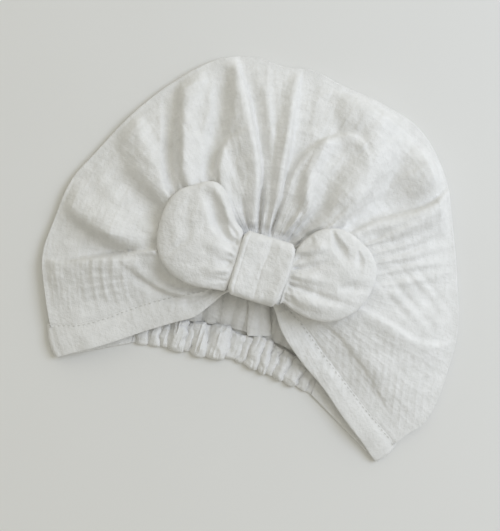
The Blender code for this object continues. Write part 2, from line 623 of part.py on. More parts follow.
def build_knot(material):
    """Band of folded cloth round the bow's waist, with soft edges and a shallow dent down its middle."""
    inner_y = (WAIST_Y[1] - WAIST_Y[0]) / 2.0 + GAP
    inner_z = (WAIST_Z[1] - WAIST_Z[0]) / 2.0 + GAP
    inner = rounded_ring(inner_y, inner_z, KNOT_CORNER - BAND_GAUZE, CORNER_STEPS)
    outer = rounded_ring(inner_y + BAND_GAUZE, inner_z + BAND_GAUZE, KNOT_CORNER, CORNER_STEPS)
    rings = []
    for share, drawn in KNOT_STATIONS:
        x = KNOT_X[0] + (KNOT_X[1] - KNOT_X[0]) * share
        ring = outer + (inner - outer) * drawn
        rings.append(np.concatenate([np.full((len(ring), 1), x), ring], axis=1))
    for x in reversed(KNOT_X):
        rings.append(np.concatenate([np.full((len(inner), 1), x), inner], axis=1))
    points = np.array(rings) + (0.0, np.mean(WAIST_Y), np.mean(WAIST_Z))
    columns, rows = points.shape[:2]
    faces = []
    for column in range(columns):
        here, after = column * rows, (column + 1) % columns * rows
        for row in range(rows):
            below = (row + 1) % rows
            faces.append((here + below, after + below, after + row, here + row))
    return add_object("knot", points, faces, material)


def main():
    clear_scene()
    gauze = make_material("double_gauze", (0.82, 0.82, 0.79), 0.95)
    hem = make_material("stitched_gauze", (0.81, 0.81, 0.78), 0.95)
    bow = make_material("bow_gauze", (0.83, 0.83, 0.80), 0.92)
    build_crown(gauze)
    build_hem("left", hem)
    build_hem("right", hem)
    build_casing(hem)
    build_seam(gauze)
    build_bow(bow)
    build_knot(bow)


main()
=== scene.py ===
import math

import bpy
import numpy as np
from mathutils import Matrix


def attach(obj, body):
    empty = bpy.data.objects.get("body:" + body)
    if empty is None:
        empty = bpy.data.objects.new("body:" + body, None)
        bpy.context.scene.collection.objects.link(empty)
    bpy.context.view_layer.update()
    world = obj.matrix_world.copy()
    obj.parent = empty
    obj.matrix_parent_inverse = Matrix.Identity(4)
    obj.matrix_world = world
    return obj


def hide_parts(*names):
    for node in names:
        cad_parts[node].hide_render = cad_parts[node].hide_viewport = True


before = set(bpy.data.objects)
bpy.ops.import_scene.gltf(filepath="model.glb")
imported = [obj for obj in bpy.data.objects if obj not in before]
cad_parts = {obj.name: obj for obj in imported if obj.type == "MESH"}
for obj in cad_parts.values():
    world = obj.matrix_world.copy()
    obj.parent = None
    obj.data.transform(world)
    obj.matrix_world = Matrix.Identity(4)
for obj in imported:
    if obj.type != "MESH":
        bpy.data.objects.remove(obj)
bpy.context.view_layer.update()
mm = 0.001

view = {
    "tilt": 17.0,  # degrees that the cap is turned clockwise in the picture
    "centre": (-8.2, -0.4),  # what the middle of the picture looks at
    "height": 700.0,
    "lens": 82.6,
}


# small helpers

def ease(value):
    # 0 to 1 with level ends
    t = np.clip(value, 0.0, 1.0)
    return t * t * (3.0 - 2.0 * t)


def hump(distance, breadth):
    # 1 at the middle, 0 from the breadth outwards, round on top and level at its foot
    return np.clip(1.0 - (distance / breadth) ** 2, 0.0, 1.0) ** 2


def cloudNoise(x, y, cell, seed):
    # smooth noise from -1 to 1: random values on a lattice of that cell size, eased from one to the next
    table = np.random.default_rng(seed).uniform(-1.0, 1.0, (64, 64))
    gx, gy = x / cell, y / cell
    ix, iy = np.floor(gx).astype(int), np.floor(gy).astype(int)
    fx, fy = ease(gx - ix), ease(gy - iy)
    near = table[ix % 64, iy % 64] * (1 - fx) + table[(ix + 1) % 64, iy % 64] * fx
    far = table[ix % 64, (iy + 1) % 64] * (1 - fx) + table[(ix + 1) % 64, (iy + 1) % 64] * fx
    return near * (1 - fy) + far * fy


def ridges(x, y, cell, seed):
    # thin crests where the smooth noise crosses zero, from 0 to 1
    return (1.0 - np.abs(cloudNoise(x, y, cell, seed))) ** 4


def curveThrough(points, count):
    # evenly spaced points of a smooth curve: cubic pieces whose slopes are the mean of their neighbours'
    p = np.asarray(points, float)
    knots = np.concatenate([[0.0], np.cumsum(np.linalg.norm(np.diff(p, axis=0), axis=1))])
    slopes = np.gradient(p, knots, axis=0)
    fine = np.linspace(0.0, knots[-1], 40 * len(p))
    piece = np.clip(np.searchsorted(knots, fine, side="right") - 1, 0, len(p) - 2)
    span = (knots[piece + 1] - knots[piece])[:, None]
    t = (fine - knots[piece])[:, None] / span
    curve = (
        (2 * t**3 - 3 * t**2 + 1) * p[piece]
        + (t**3 - 2 * t**2 + t) * span * slopes[piece]
        + (3 * t**2 - 2 * t**3) * p[piece + 1]
        + (t**3 - t**2) * span * slopes[piece + 1]
    )
    return respace(curve, count)


def respace(curve, count):
    # count points at even lengths along a polyline
    along = np.concatenate([[0.0], np.cumsum(np.linalg.norm(np.diff(curve, axis=0), axis=1))])
    even = np.linspace(0.0, along[-1], count)
    return np.stack([np.interp(even, along, curve[:, axis]) for axis in range(curve.shape[1])], axis=1)


def besideCurve(x, y, path):
    # distance of each point from a curve, positive on its left hand, and how far along the curve it is, 0 to 1
    step = np.diff(path, axis=0)
    length = np.linalg.norm(step, axis=1)
    done = np.concatenate([[0.0], np.cumsum(length)])
    best = np.full(x.shape, np.inf)
    signed = np.zeros(x.shape)
    along = np.zeros(x.shape)
    for start, run, size, before in zip(path[:-1], step, length, done):
        dx, dy = x - start[0], y - start[1]
        share = np.clip((dx * run[0] + dy * run[1]) / size**2, 0.0, 1.0)
        offX, offY = dx - share * run[0], dy - share * run[1]
        gap = np.hypot(offX, offY)
        closer = gap < best
        side = np.where(run[0] * offY - run[1] * offX < 0, -1.0, 1.0)
        best = np.where(closer, gap, best)
        signed = np.where(closer, gap * side, signed)
        along = np.where(closer, (before + share * size) / done[-1], along)
    return signed, along


def unit(vectors):
    # the same directions, one long
    return vectors / np.linalg.norm(vectors, axis=-1, keepdims=True)


def outwardOf(line):
    # unit normals on the left hand of a line
    run = unit(np.gradient(line, axis=0))
    return np.stack([-run[:, 1], run[:, 0]], axis=1)


def fullTurn(count):
    # angles of points spaced evenly round a ring
    return np.linspace(0.0, 2.0 * math.pi, count, endpoint=False)


def blunt(wave, power):
    # a wave from -1 to 1 with its size raised to a power: below 1, a ring made with it is nearer to an oblong
    return np.sign(wave) * np.abs(wave) ** power


def bells(degrees, table):
    # sum of bell curves over the angle round the knot; each row gives the middle, breadth and height of one
    return sum(height * np.exp(-(((degrees - middle) / breadth) ** 2)) for middle, breadth, height in table)


def gridQuads(columns, rows, closeColumns=False, closeRows=False):
    # four corners of each cell of a grid whose points run row by row within each column
    c = np.arange(columns if closeColumns else columns - 1)
    r = np.arange(rows if closeRows else rows - 1)
    c, r = np.meshgrid(c, r, indexing="ij")
    c2, r2 = (c + 1) % columns, (r + 1) % rows
    return np.stack([c * rows + r, c2 * rows + r, c2 * rows + r2, c * rows + r2], axis=-1).reshape(-1, 4)


def sheetNormals(points):
    # upward unit normals of a grid of points, from the cross product of its two directions
    a = np.gradient(points, axis=0)
    b = np.gradient(points, axis=1)
    n = np.cross(a, b)
    return n / np.maximum(np.linalg.norm(n, axis=2), 1e-9)[..., None]


def putMesh(name, points, quads, cloth=None, tris=None):
    # arrays into one smooth-shaded mesh object; cloth is each point's place on the flat cloth, in millimetres
    points = np.asarray(points, float).reshape(-1, 3)
    faces = [tuple(q) for q in np.asarray(quads).tolist()]
    if tris is not None:
        faces += [tuple(t) for t in np.asarray(tris).tolist()]
    mesh = bpy.data.meshes.new(name)
    mesh.from_pydata((points * mm).tolist(), [], faces)
    if cloth is not None:
        loops = np.zeros(len(mesh.loops), int)
        mesh.loops.foreach_get("vertex_index", loops)
        layer = mesh.uv_layers.new(name="cloth")
        layer.data.foreach_set("uv", (np.asarray(cloth, float).reshape(-1, 2)[loops] * mm).ravel())
    mesh.shade_smooth()
    piece = bpy.data.objects.new(name, mesh)
    bpy.context.scene.collection.objects.link(piece)
    return piece


def putTube(name, points, cloth, turned):
    # a row of rings into a closed mesh with a fan of triangles over each end; turned is for rings that run the
    # other way round, so that the faces still point outwards
    columns, size = points.shape[:2]
    r = np.arange(size)
    after = (r + 1) % size
    last = (columns - 1) * size
    middle = columns * size
    quads = gridQuads(columns, size, closeRows=True)
    caps = np.concatenate([
        np.stack([after, r, np.full(size, middle)], axis=1),
        np.stack([last + r, last + after, np.full(size, middle + 1)], axis=1),
    ])
    if turned:
        quads, caps = quads[:, ::-1], caps[:, ::-1]
    cloth = cloth.reshape(-1, 2)
    cloth = np.concatenate([cloth, cloth[:1], cloth[-1:]])
    points = np.concatenate([points.reshape(-1, 3), [points[0].mean(axis=0), points[-1].mean(axis=0)]])
    return putMesh(name, points, quads, cloth, caps)


# cloth materials

def linear(hexColour):
    # sRGB hex to linear red, green, blue
    parts = [int(hexColour[i:i + 2], 16) / 255.0 for i in (1, 3, 5)]
    return tuple(c / 12.92 if c <= 0.04045 else ((c + 0.055) / 1.055) ** 2.4 for c in parts)


def addNode(tree, kind, links=(), second=None, **settings):
    # one node; settings name its properties or its input sockets, second is the value of its second input, and
    # links are pairs of one of its inputs and the output that feeds it
    node = tree.nodes.new(kind)
    for key, value in settings.items():
        if hasattr(node, key):
            setattr(node, key, value)
        else:
            node.inputs[key.replace("_", " ")].default_value = value
    if second is not None:
        node.inputs[1].default_value = second
    for socket, source in links:
        tree.links.new(source, node.inputs[socket])
    return node


muslin = {
    "thread": 1.1,  # real threads lie 0.5 mm apart; drawn twice as coarse so that they show at all
    "threadDepth": 0.014,
    "mottle": 1.5,  # uneven thick and thin places of the loose weave
    "mottleDepth": 0.4,
    "cell": (5.4, 6.0),  # crinkle cell between the tacked rows of a double gauze, along and across the rows
    "cellDepth": 0.15,
    "cellSharp": 3.0,  # power that narrows the raised lines between the cells
    "patch": 16.0,  # areas in which the cells show or fade
    "blotch": 8.0,  # paler and darker places where the two layers touch or part
}


def muslinMaterial(name, colour, shade, crinkle, mottle):
    # washed cotton double gauze: matte, soft-edged from stray fibres, with thread relief, thick and thin places
    # and puckered cells that come and go
    material = bpy.data.materials.new(name)
    material.use_nodes = True
    tree = material.node_tree
    tree.nodes.clear()
    cloth = addNode(tree, "ShaderNodeUVMap", uv_map="cloth").outputs["UV"]
    place = addNode(tree, "ShaderNodeTexCoord").outputs["Object"]

    def waves(source, axis, depth, spacing, sharp=1.0):
        wave = addNode(
            tree, "ShaderNodeTexWave", [("Vector", source)],
            wave_type="BANDS", bands_direction=axis, wave_profile="SIN",
            Scale=math.pi / 10.0 / (spacing * mm), Distortion=2.5, Detail=2.0, Detail_Scale=0.6,
        )
        line = addNode(tree, "ShaderNodeMath", [(0, wave.outputs["Fac"])], operation="POWER", second=sharp)
        return addNode(tree, "ShaderNodeMath", [(0, line.outputs[0])], operation="MULTIPLY", second=depth * mm)

    coarse = addNode(tree, "ShaderNodeTexNoise", [("Vector", place)],
                     Scale=1.0 / (muslin["patch"] * mm), Detail=1.0)
    comeAndGo = addNode(tree, "ShaderNodeMapRange", [("Value", coarse.outputs["Fac"])],
                        From_Min=0.38, From_Max=0.58, To_Min=0.35)
    depth = muslin["cellDepth"] * crinkle
    cells = addNode(tree, "ShaderNodeMath", [
        (0, waves(cloth, "X", 0.7 * depth, muslin["cell"][0], muslin["cellSharp"]).outputs[0]),
        (1, waves(cloth, "Y", depth, muslin["cell"][1], muslin["cellSharp"]).outputs[0]),
    ], operation="ADD")
    patches = addNode(tree, "ShaderNodeMath", [(0, cells.outputs[0]), (1, comeAndGo.outputs[0])],
                      operation="MULTIPLY")
    threads = addNode(tree, "ShaderNodeMath", [
        (0, waves(place, "X", muslin["threadDepth"], muslin["thread"]).outputs[0]),
        (1, waves(place, "Y", muslin["threadDepth"], muslin["thread"]).outputs[0]),
    ], operation="ADD")
    lumps = addNode(tree, "ShaderNodeTexNoise", [("Vector", place)],
                    Scale=1.0 / (muslin["mottle"] * mm), Detail=3.0, Roughness=0.6)
    lumpy = addNode(tree, "ShaderNodeMath", [(0, lumps.outputs["Fac"])], operation="MULTIPLY",
                    second=muslin["mottleDepth"] * mottle * mm)
    fine = addNode(tree, "ShaderNodeMath", [(0, threads.outputs[0]), (1, lumpy.outputs[0])], operation="ADD")
    height = addNode(tree, "ShaderNodeMath", [(0, fine.outputs[0]), (1, patches.outputs[0])], operation="ADD")
    blotches = addNode(tree, "ShaderNodeTexNoise", [("Vector", place)],
                       Scale=1.0 / (muslin["blotch"] * mm), Detail=5.0, Roughness=0.65)
    tone = addNode(tree, "ShaderNodeValToRGB", [("Fac", blotches.outputs["Fac"])])
    tone.color_ramp.elements[0].position = 0.3
    tone.color_ramp.elements[0].color = (*linear(shade), 1.0)
    tone.color_ramp.elements[1].position = 0.7
    tone.color_ramp.elements[1].color = (*linear(colour), 1.0)
    bump = addNode(tree, "ShaderNodeBump", [("Height", height.outputs[0])], Strength=1.0, Distance=1.0)
    shader = addNode(
        tree, "ShaderNodeBsdfPrincipled",
        [("Base Color", tone.outputs["Color"]), ("Normal", bump.outputs["Normal"])],
        Roughness=0.95, IOR=1.5, Specular_IOR_Level=0.1, Sheen_Weight=0.08, Sheen_Roughness=0.6,
        Subsurface_Weight=0.1, Subsurface_Scale=1.2 * mm, Subsurface_Radius=(1.0, 1.0, 1.0),
    )
    addNode(tree, "ShaderNodeOutputMaterial", [("Surface", shader.outputs["BSDF"])])
    return material


# colour, its darker places, strength of the crinkle cells, strength of the mottle
gauzeMaterial = muslinMaterial("cotton_double_gauze", "#EBEAE8", "#DDDCD9", 1.0, 1.0)
hemMaterial = muslinMaterial("cotton_double_gauze_hemmed", "#EBEAE8", "#DEDDDA", 0.8, 1.0)
bowMaterial = muslinMaterial("cotton_double_gauze_bow", "#EBEAE8", "#DDDCD9", 0.35, 1.2)
# the thread is white like the cloth but coloured darker here: painted shade of the dimples that the stitches sink
# into
shadedThreadMaterial = muslinMaterial("cotton_sewing_thread", "#DAD9D4", "#CBCAC5", 0.0, 0.3)
print("cloth materials ready")


# heights of the flattened bag

bag = {
    "rimFold": 2.6,  # radius of the soft fold at the outline
    "tipFold": 1.8,  # more of it at the left tip
    "wall": 0.8,  # thickness of the gauze
    "underHem": 2.0,  # how far the gauze reaches beneath the hem's stitched edge
    "rimReach": 0.08,  # how far the outline goes on beneath the hems' ends, as a share of their breadth
    "knotRest": 13.2,  # height of the front under the knot
    "crownRest": 21.0,  # and where the crown stands highest between its folds
    "hemRestKnot": 12.6,  # height of the hems beside the knot
    "hemRestTip": 6.0,  # and at the side tips
    "slope": 74.0,  # how far from the outline the front is still rising
    "foldScale": 1.25,
    # round the knot, in degrees: middle, breadth, amount
    "flatter": [(-34, 22, 0.65), (54, 13, 0.35), (208, 17, 1.0)],  # where the front lies lower
    "calm": [(-32, 18, 0.75)],  # where it is smoother
    "rows": [(203, 15, 2.0)],  # where the crinkle's circling lines show most
    "cords": [(20, 14, 0.5), (85, 30, 0.2), (201, 15, 1.8)],  # and its lines that run out from the knot
    "upright": 4.3,  # spacing of the upright crinkle lines in the calm part
    "split": (0.22, 0.80),  # shares of the columns that start at the left hem and left of the right hem
    "columns": 461,  # odd, and so are front, rim and back rows together, for the wall's coarser inner face
    "frontRows": 133,
    "rimRows": 8,
    "backRows": 24,
    "seed": 11,
}

knotCentre = np.array([-1.0, 0.0])
outline = [
    (-97, -82), (-107.8, -65.5), (-115, -50.5), (-123.5, -28), (-123, -8), (-119.5, 19), (-112, 35), (-98.5, 62),
    (-81, 87), (-55, 110), (-40, 114.5), (-22, 114), (-7, 116.8), (12, 113.5), (38, 110), (60, 103.5), (84, 80.5),
    (97, 53), (108, 25), (116.5, -2), (117.5, -25), (115.5, -50), (112.6, -59), (107, -65), (101.2, -73),
    (92, -86),
]
hemLine = {  # each from the knot to the tip
    "leftEdge": [(-12, -16), (-17, -19.5), (-22.5, -27.5), (-30, -37.5), (-40, -44), (-55, -54), (-70, -65),
                 (-97, -82)],
    "leftStitch": [(-10, -10), (-18, -16), (-30, -21.5), (-48, -31), (-64, -41.5), (-78, -52), (-90, -59.5),
                   (-107.8, -65.5)],
    "rightStitch": [(8, -10), (14, -14), (25.5, -20), (45, -34.4), (68.4, -51.2), (84, -62), (101.2, -73)],
    "rightEdge": [(8.5, -16), (12, -20), (19, -30), (34, -43), (52, -55), (70, -69.5), (80, -76.5), (92, -86)],
}

# Folds of the front, from the knot outwards: points, heights along them, breadth on the left and right hand, and
# the drop, the share by which the low side of a lapped fold sinks: above 0 it is the right side, below 0 the left,
# and 0 is a rounded fold.
folds = [
    ([(-44, -5), (-58, -6.5), (-75, -13), (-97, -22.5), (-110, -28), (-123, -30)], (2.6, 3.8, 3.2), 32, 12, 0.9),
    ([(-24, -18.5), (-30, -24), (-38, -28), (-48, -29), (-58, -27), (-72, -22)], (2.0, 3.2, 0.6), 6, 7, -0.9),
    ([(-64, -10), (-84, -14), (-104, -14), (-123, -13)], (-0.6, -2.6, -2.0), 9, 9, 0),
    ([(-54, -6), (-66, -9), (-78, -9.5), (-92, -5), (-106, -1), (-121, 6)], (1.8, 5.0, 3.6), 8, 16, 0),
    ([(-55, 6), (-66, 11), (-80, 19), (-97, 33)], (-3.0, -3.0, -1.0), 14, 10, 0),
    ([(-50, 14), (-66, 27), (-80, 40), (-92, 53), (-101, 63)], (2.0, 4.2, 3.0), 16, 9, 0),
    ([(-50, 20), (-63, 28), (-68, 44), (-73, 60), (-79, 77), (-84, 88)], (-3.0, -4.4, -3.2), 7, 8, 0),
    ([(-44, 26), (-57, 37), (-63, 50), (-67, 62), (-71, 82), (-72, 95)], (2.0, 4.5, 4.0), 9, 12, 0),
    ([(-36, 28), (-45, 40), (-47.5, 55), (-48.5, 75), (-54, 101)], (-2.5, -4.0, -3.0), 8, 8, 0),
    ([(-28, 24), (-38, 38), (-43.5, 54), (-41, 64), (-34, 71)], (0.8, 2.4, 0.6), 5, 11, -0.5),
    ([(-10, 18), (-13.5, 33), (-17.5, 52), (-25, 68), (-36, 89), (-50, 111)], (3.0, 5.4, 3.6), 18, 10, 0.8),
    ([(-8, 20), (-13, 45), (-19, 70), (-27, 95), (-31, 112)], (0.8, 0.8, 0.6), 4, 5, 0),
    ([(-13, 60), (-17, 76), (-24, 96), (-29, 112)], (-0.4, -0.7, -0.5), 3, 3, 0),
    ([(-3, 21), (-2.8, 40), (-4.6, 56), (-7, 78), (-10, 97), (-12, 115)], (3.0, 5.0, 2.6), 10, 15, 0.7),
    ([(-1, 22), (-2.5, 42), (-1, 58), (6, 74), (14, 82), (25, 87), (33, 84), (38, 77)],
     (1.0, 3.0, 0.3), 9, 11, -0.6),
    ([(3, 20), (8, 29), (12.5, 38), (10, 50), (9.5, 60), (12, 70), (13, 77)], (2.0, 4.4, 2.5), 6, 5, 0),
    ([(-8.5, 20), (-12.6, 37), (-17, 50)], (-1.8, -2.0, -0.3), 2.4, 2.4, 0),
    ([(-2.5, 21), (-2.2, 33), (-1.8, 43)], (-1.8, -2.2, -0.4), 2.4, 2.4, 0),
    ([(9, 22), (11.8, 38), (12.4, 47)], (-1.4, -1.8, -0.3), 2.4, 2.4, 0),
    ([(3.5, 20), (5.5, 27), (7, 33)], (-1.2, -1.4, -0.2), 1.8, 1.8, 0),
    ([(14, 19), (19, 26), (25, 31)], (-1.4, -1.6, -0.2), 2.0, 2.0, 0),
    ([(15, 14), (22, 20), (31, 25)], (-1.2, -1.4, -0.2), 2.0, 2.0, 0),
    ([(-15, 19), (-20, 27), (-24, 35)], (-1.0, -1.2, -0.2), 2.0, 2.0, 0),
    ([(9, 20), (14, 28), (17, 38), (19, 50), (25, 64), (31, 76)], (-2.0, -2.2, -0.8), 6, 11, 0),
    ([(20, 29), (28, 37), (33, 48), (36.5, 62), (40, 76), (43.5, 90), (46, 108)], (1.5, 7.0, 6.0, 1.0), 20, 17, 0),
    ([(24, 28), (31, 36), (37, 47), (41, 58)], (0.6, 1.8, 0.4), 4, 4, 0),
    ([(8, 108), (28, 106), (50, 99)], (0.5, 5.0, 6.0, 5.0, 0.5), 6, 32, 0),
    ([(39, 39.5), (47, 50), (54, 62), (58, 75), (60, 86)], (-2.6, -5.0, -4.0, -1.0), 11, 22, 0),
    ([(48, 45), (58, 55), (68, 63), (77, 71)], (-0.6, -1.8, -1.6, 0.0), 16, 6, 0),
    ([(54, 93), (70, 84), (84, 71)], (0.0, 4.0, 7.5, 7.5, 3.0), 9, 32, 0),
    ([(43, 36.5), (51, 44), (63, 51.5), (75, 59), (82, 66), (87, 75)], (1.6, 4.6, 6.0, 6.5), 10, 20, -0.4),
    ([(50, 29), (66, 41), (82, 56)], (0.6, 1.7, 0.5), 3.6, 3.6, 0),
    ([(54, 25), (72, 36), (90, 51)], (0.6, 1.4, 0.4), 3.2, 3.2, 0),
    ([(58, 21), (76, 31), (97, 45)], (0.6, 1.7, 0.5), 3.8, 3.8, 0),
    ([(61, 15), (80, 26), (102, 37)], (0.5, 1.4, 0.4), 3.4, 3.4, 0),
    ([(63, 9), (84, 19), (105, 30)], (0.4, 1.2, 0.4), 3.4, 3.4, 0),
    ([(66, 28), (86, 15), (106, 2)], (0.0, -0.8, -0.3), 3.4, 3.4, 0),
    ([(76, 30), (94, 18), (109, 9)], (0.0, -0.7, -0.2), 3, 3, 0),
    ([(62, 22), (80, 9), (102, -4)], (0.0, -0.8, -0.3), 3.4, 3.4, 0),
    ([(60, 14), (76, 3), (94, -7)], (0.0, -0.7, -0.2), 3.4, 3.4, 0),
    ([(50, -2), (59, -4.7), (77, -8), (91, -12.5), (104, -12), (116, -8)], (0.8, 2.2, 1.4), 13, 14, -0.3),
    ([(30, -14), (39, -19.6), (49, -22.5), (60, -30), (73, -39), (84, -49.5), (94, -60), (102, -70)],
     (0.5, 1.2, 0.4), 12, 7, 0.2),
]

# The bow's own measures come here because the crown lies against its underside.
bow = {
    # section: place, lower edge, upper edge
    "sections": [
        (-63.2, 8.5, 11.5), (-62.6, 1, 18.5), (-60.5, -6, 24.5), (-57, -11.2, 29.2), (-50, -16.8, 33.8),
        (-44, -19.2, 37.6), (-39, -20.2, 38.3), (-34, -20.3, 36), (-30, -20, 31.2), (-26, -19.3, 25.4),
        (-22, -18.7, 20.4), (-17.6, -17.6, 16.8), (-16.8, -16.3, 15.3), (13.8, -16.3, 15.3), (15.2, -15, 19),
        (17.5, -15.6, 23.2), (21, -16.8, 27.8), (26, -18.2, 31.3), (33, -19, 33.6), (40, -18.4, 33),
        (46.5, -15.8, 30.4), (52.5, -10.8, 27), (57, -5, 22.8), (60, 3, 17.4), (60.8, 9, 12),
    ],
    "knot": (-16.5, 13.5),
    "waist": (17.0, 26.0),
    "underside": 17.6,
    "thick": 13.0,
    "columns": 340,
    "ring": 150,
    "folds": [
        ([(-18, 14), (-24, 20), (-31, 29), (-39, 35.5), (-50, 35)], (1.4, 4.2, 0.6), 6, 4, 0),
        ([(-18, 9.5), (-25, 10.5), (-32, 17), (-37, 25), (-43, 31)], (-2.0, -5.4, -1.4), 5, 6.5, 0),
        ([(-17, 8.5), (-22, 8.5), (-28, 10)], (-1.4, -1.6, 0.0), 2.4, 2.4, 0),
        ([(-16, -2.5), (-20, -2.6), (-27, -4)], (-2.2, -1.8, 0.0), 2.6, 2.6, 0),
        ([(-17, 3), (-24, 3.5), (-38, 6)], (1.4, 1.8, 0.3), 5, 4, 0),
        ([(-17, -7), (-24, -8), (-36, -12)], (1.2, 1.4, 0.2), 4, 4, 0),
        ([(-17, -12), (-25, -14), (-34, -17)], (-1.2, -1.0, 0.0), 2.6, 2.6, 0),
        ([(-52, -6), (-46, 4), (-50, 16), (-48, 26)], (-0.4, -1.1, -0.4), 7, 5, 0),
        ([(30, 31), (33, 26.5), (38, 21.5), (44, 17)], (-1.6, -4.0, -0.4), 4.5, 4.5, 0),
        ([(21, 25), (26, 21), (32, 20)], (1.0, 1.4, 0.2), 5, 5, 0),
        ([(47, 24), (49, 20), (50, 15)], (-1.0, -2.4, -0.4), 3.5, 3.5, 0),
        ([(14, 5), (22, 7.5), (28, 11), (35, 15)], (-2.4, -2.8, -0.4), 3.2, 3.6, 0),
        ([(14, 1), (24, 2.2), (40, 3)], (1.4, 1.6, 0.2), 3.6, 3.6, 0),
        ([(14, -3.5), (24, -4.5), (40, -5.5), (53, -5)], (-2.4, -2.4, -0.4), 3.2, 3.6, 0),
        ([(15, 14), (22, 18), (30, 23)], (1.4, 1.8, 0.2), 4, 4, 0),
        ([(14, 10), (20, 13), (26, 17)], (-1.4, -1.4, 0.0), 2.6, 2.6, 0),
        ([(16, -9), (30, -11), (46, -9)], (1.0, 2.0, 0.2), 5, 5, 0),
        ([(14, -12), (22, -14.5), (32, -16.5)], (-1.2, -1.0, 0.0), 2.6, 2.6, 0),
        ([(43, 2), (51, 5), (58, 7)], (-0.8, -2.2, -0.8), 5, 5, 0),
    ],
}
outlinePath = curveThrough(outline, 200)
edgePaths = [curveThrough(hemLine[side], 40) for side in ("leftEdge", "rightEdge")]
bowTable = np.array(bow["sections"])
bowLow = curveThrough(bowTable[:, (0, 1)], 2000)
bowHigh = curveThrough(bowTable[:, (0, 2)], 2000)
bowOutline = np.concatenate([respace(bowLow, 160), respace(bowHigh, 160)[::-1]])
stitchPaths = [curveThrough(hemLine[side], 40) for side in ("leftStitch", "rightStitch")]


def clothPlace(x, y):
    # place on the flat cloth: the angle round the knot times 110 mm, and the distance from the knot
    turn = np.degrees(np.arctan2(y - knotCentre[1], x - knotCentre[0]))
    turn = np.mod(turn + 90.0, 360.0) - 90.0
    return np.radians(turn) * 110.0, np.hypot(x - knotCentre[0], y - knotCentre[1])


def bowUnderside(x, y):
    # highest level the crown may reach: the lobes' underside, rounded up towards their outline and open beyond it
    level = np.full(x.shape, 99.0)
    near = (np.abs(x) < 70.0) & (np.abs(y - 8.0) < 36.0)
    px, py = x[near], y[near]
    gap = np.abs(besideCurve(px, py, bowOutline)[0])
    low = np.interp(px, bowLow[:, 0], bowLow[:, 1])
    high = np.interp(px, bowHigh[:, 0], bowHigh[:, 1])
    inside = (py > low) & (py < high) & (px > bowTable[0, 0]) & (px < bowTable[-1, 0])
    level[near] = bow["underside"] - 0.5 + np.where(inside, 5.0 * (1.0 - ease(gap / 6.0)), 5.0 + 1.2 * gap)
    return level


def foldHeights(x, y, table):
    # a rounded fold is a hump across its line; a lapped one steps from its high side down to its low side
    relief = np.zeros_like(x)
    for points, heights, left, right, drop in table:
        path = curveThrough(points, 26)
        lo, hi = path.min(axis=0) - max(left, right), path.max(axis=0) + max(left, right)
        near = (x > lo[0]) & (x < hi[0]) & (y > lo[1]) & (y < hi[1])
        if not near.any():
            continue
        gap, along = besideCurve(x[near], y[near], path)
        grown = 0.35 + 0.65 * ease(along * 2.0)
        height = np.interp(along, np.linspace(0.0, 1.0, len(heights)), heights)
        side = hump(gap, np.where(gap > 0, left, right) * grown)
        if drop:
            high = 0.5 + 0.5 * np.tanh(gap * np.sign(drop) / 0.75)
            lip = 1.0 - 0.3 * np.exp(-((gap / 2.2) ** 2))
            side = side * (high * lip - abs(drop) * (1.0 - high))
        relief[near] += height * side
    return relief


def puckers(s, t, seed):
    # double gauze between its tacked rows: round cells across s and t with wandering, uneven rows
    s = s + 1.6 * cloudNoise(s, t, 17.0, seed) + 0.5 * cloudNoise(s, t, 5.0, seed + 1)
    t = t + 1.6 * cloudNoise(s, t, 17.0, seed + 2) + 0.5 * cloudNoise(s, t, 5.0, seed + 3)
    across = np.abs(np.sin(math.pi * s / muslin["cell"][0])) ** 0.7
    along = np.abs(np.sin(math.pi * t / muslin["cell"][1])) ** 0.7
    return across, along


def rimRise(x, y):
    # radius of the soft fold at the outline: thicker where cloth lies doubled at the left tip and under the hems
    degrees = np.degrees(clothPlace(x, y)[0] / 110.0)
    return bag["rimFold"] + bag["tipFold"] * np.exp(-(((degrees - 207.0) / 17.0) ** 2))


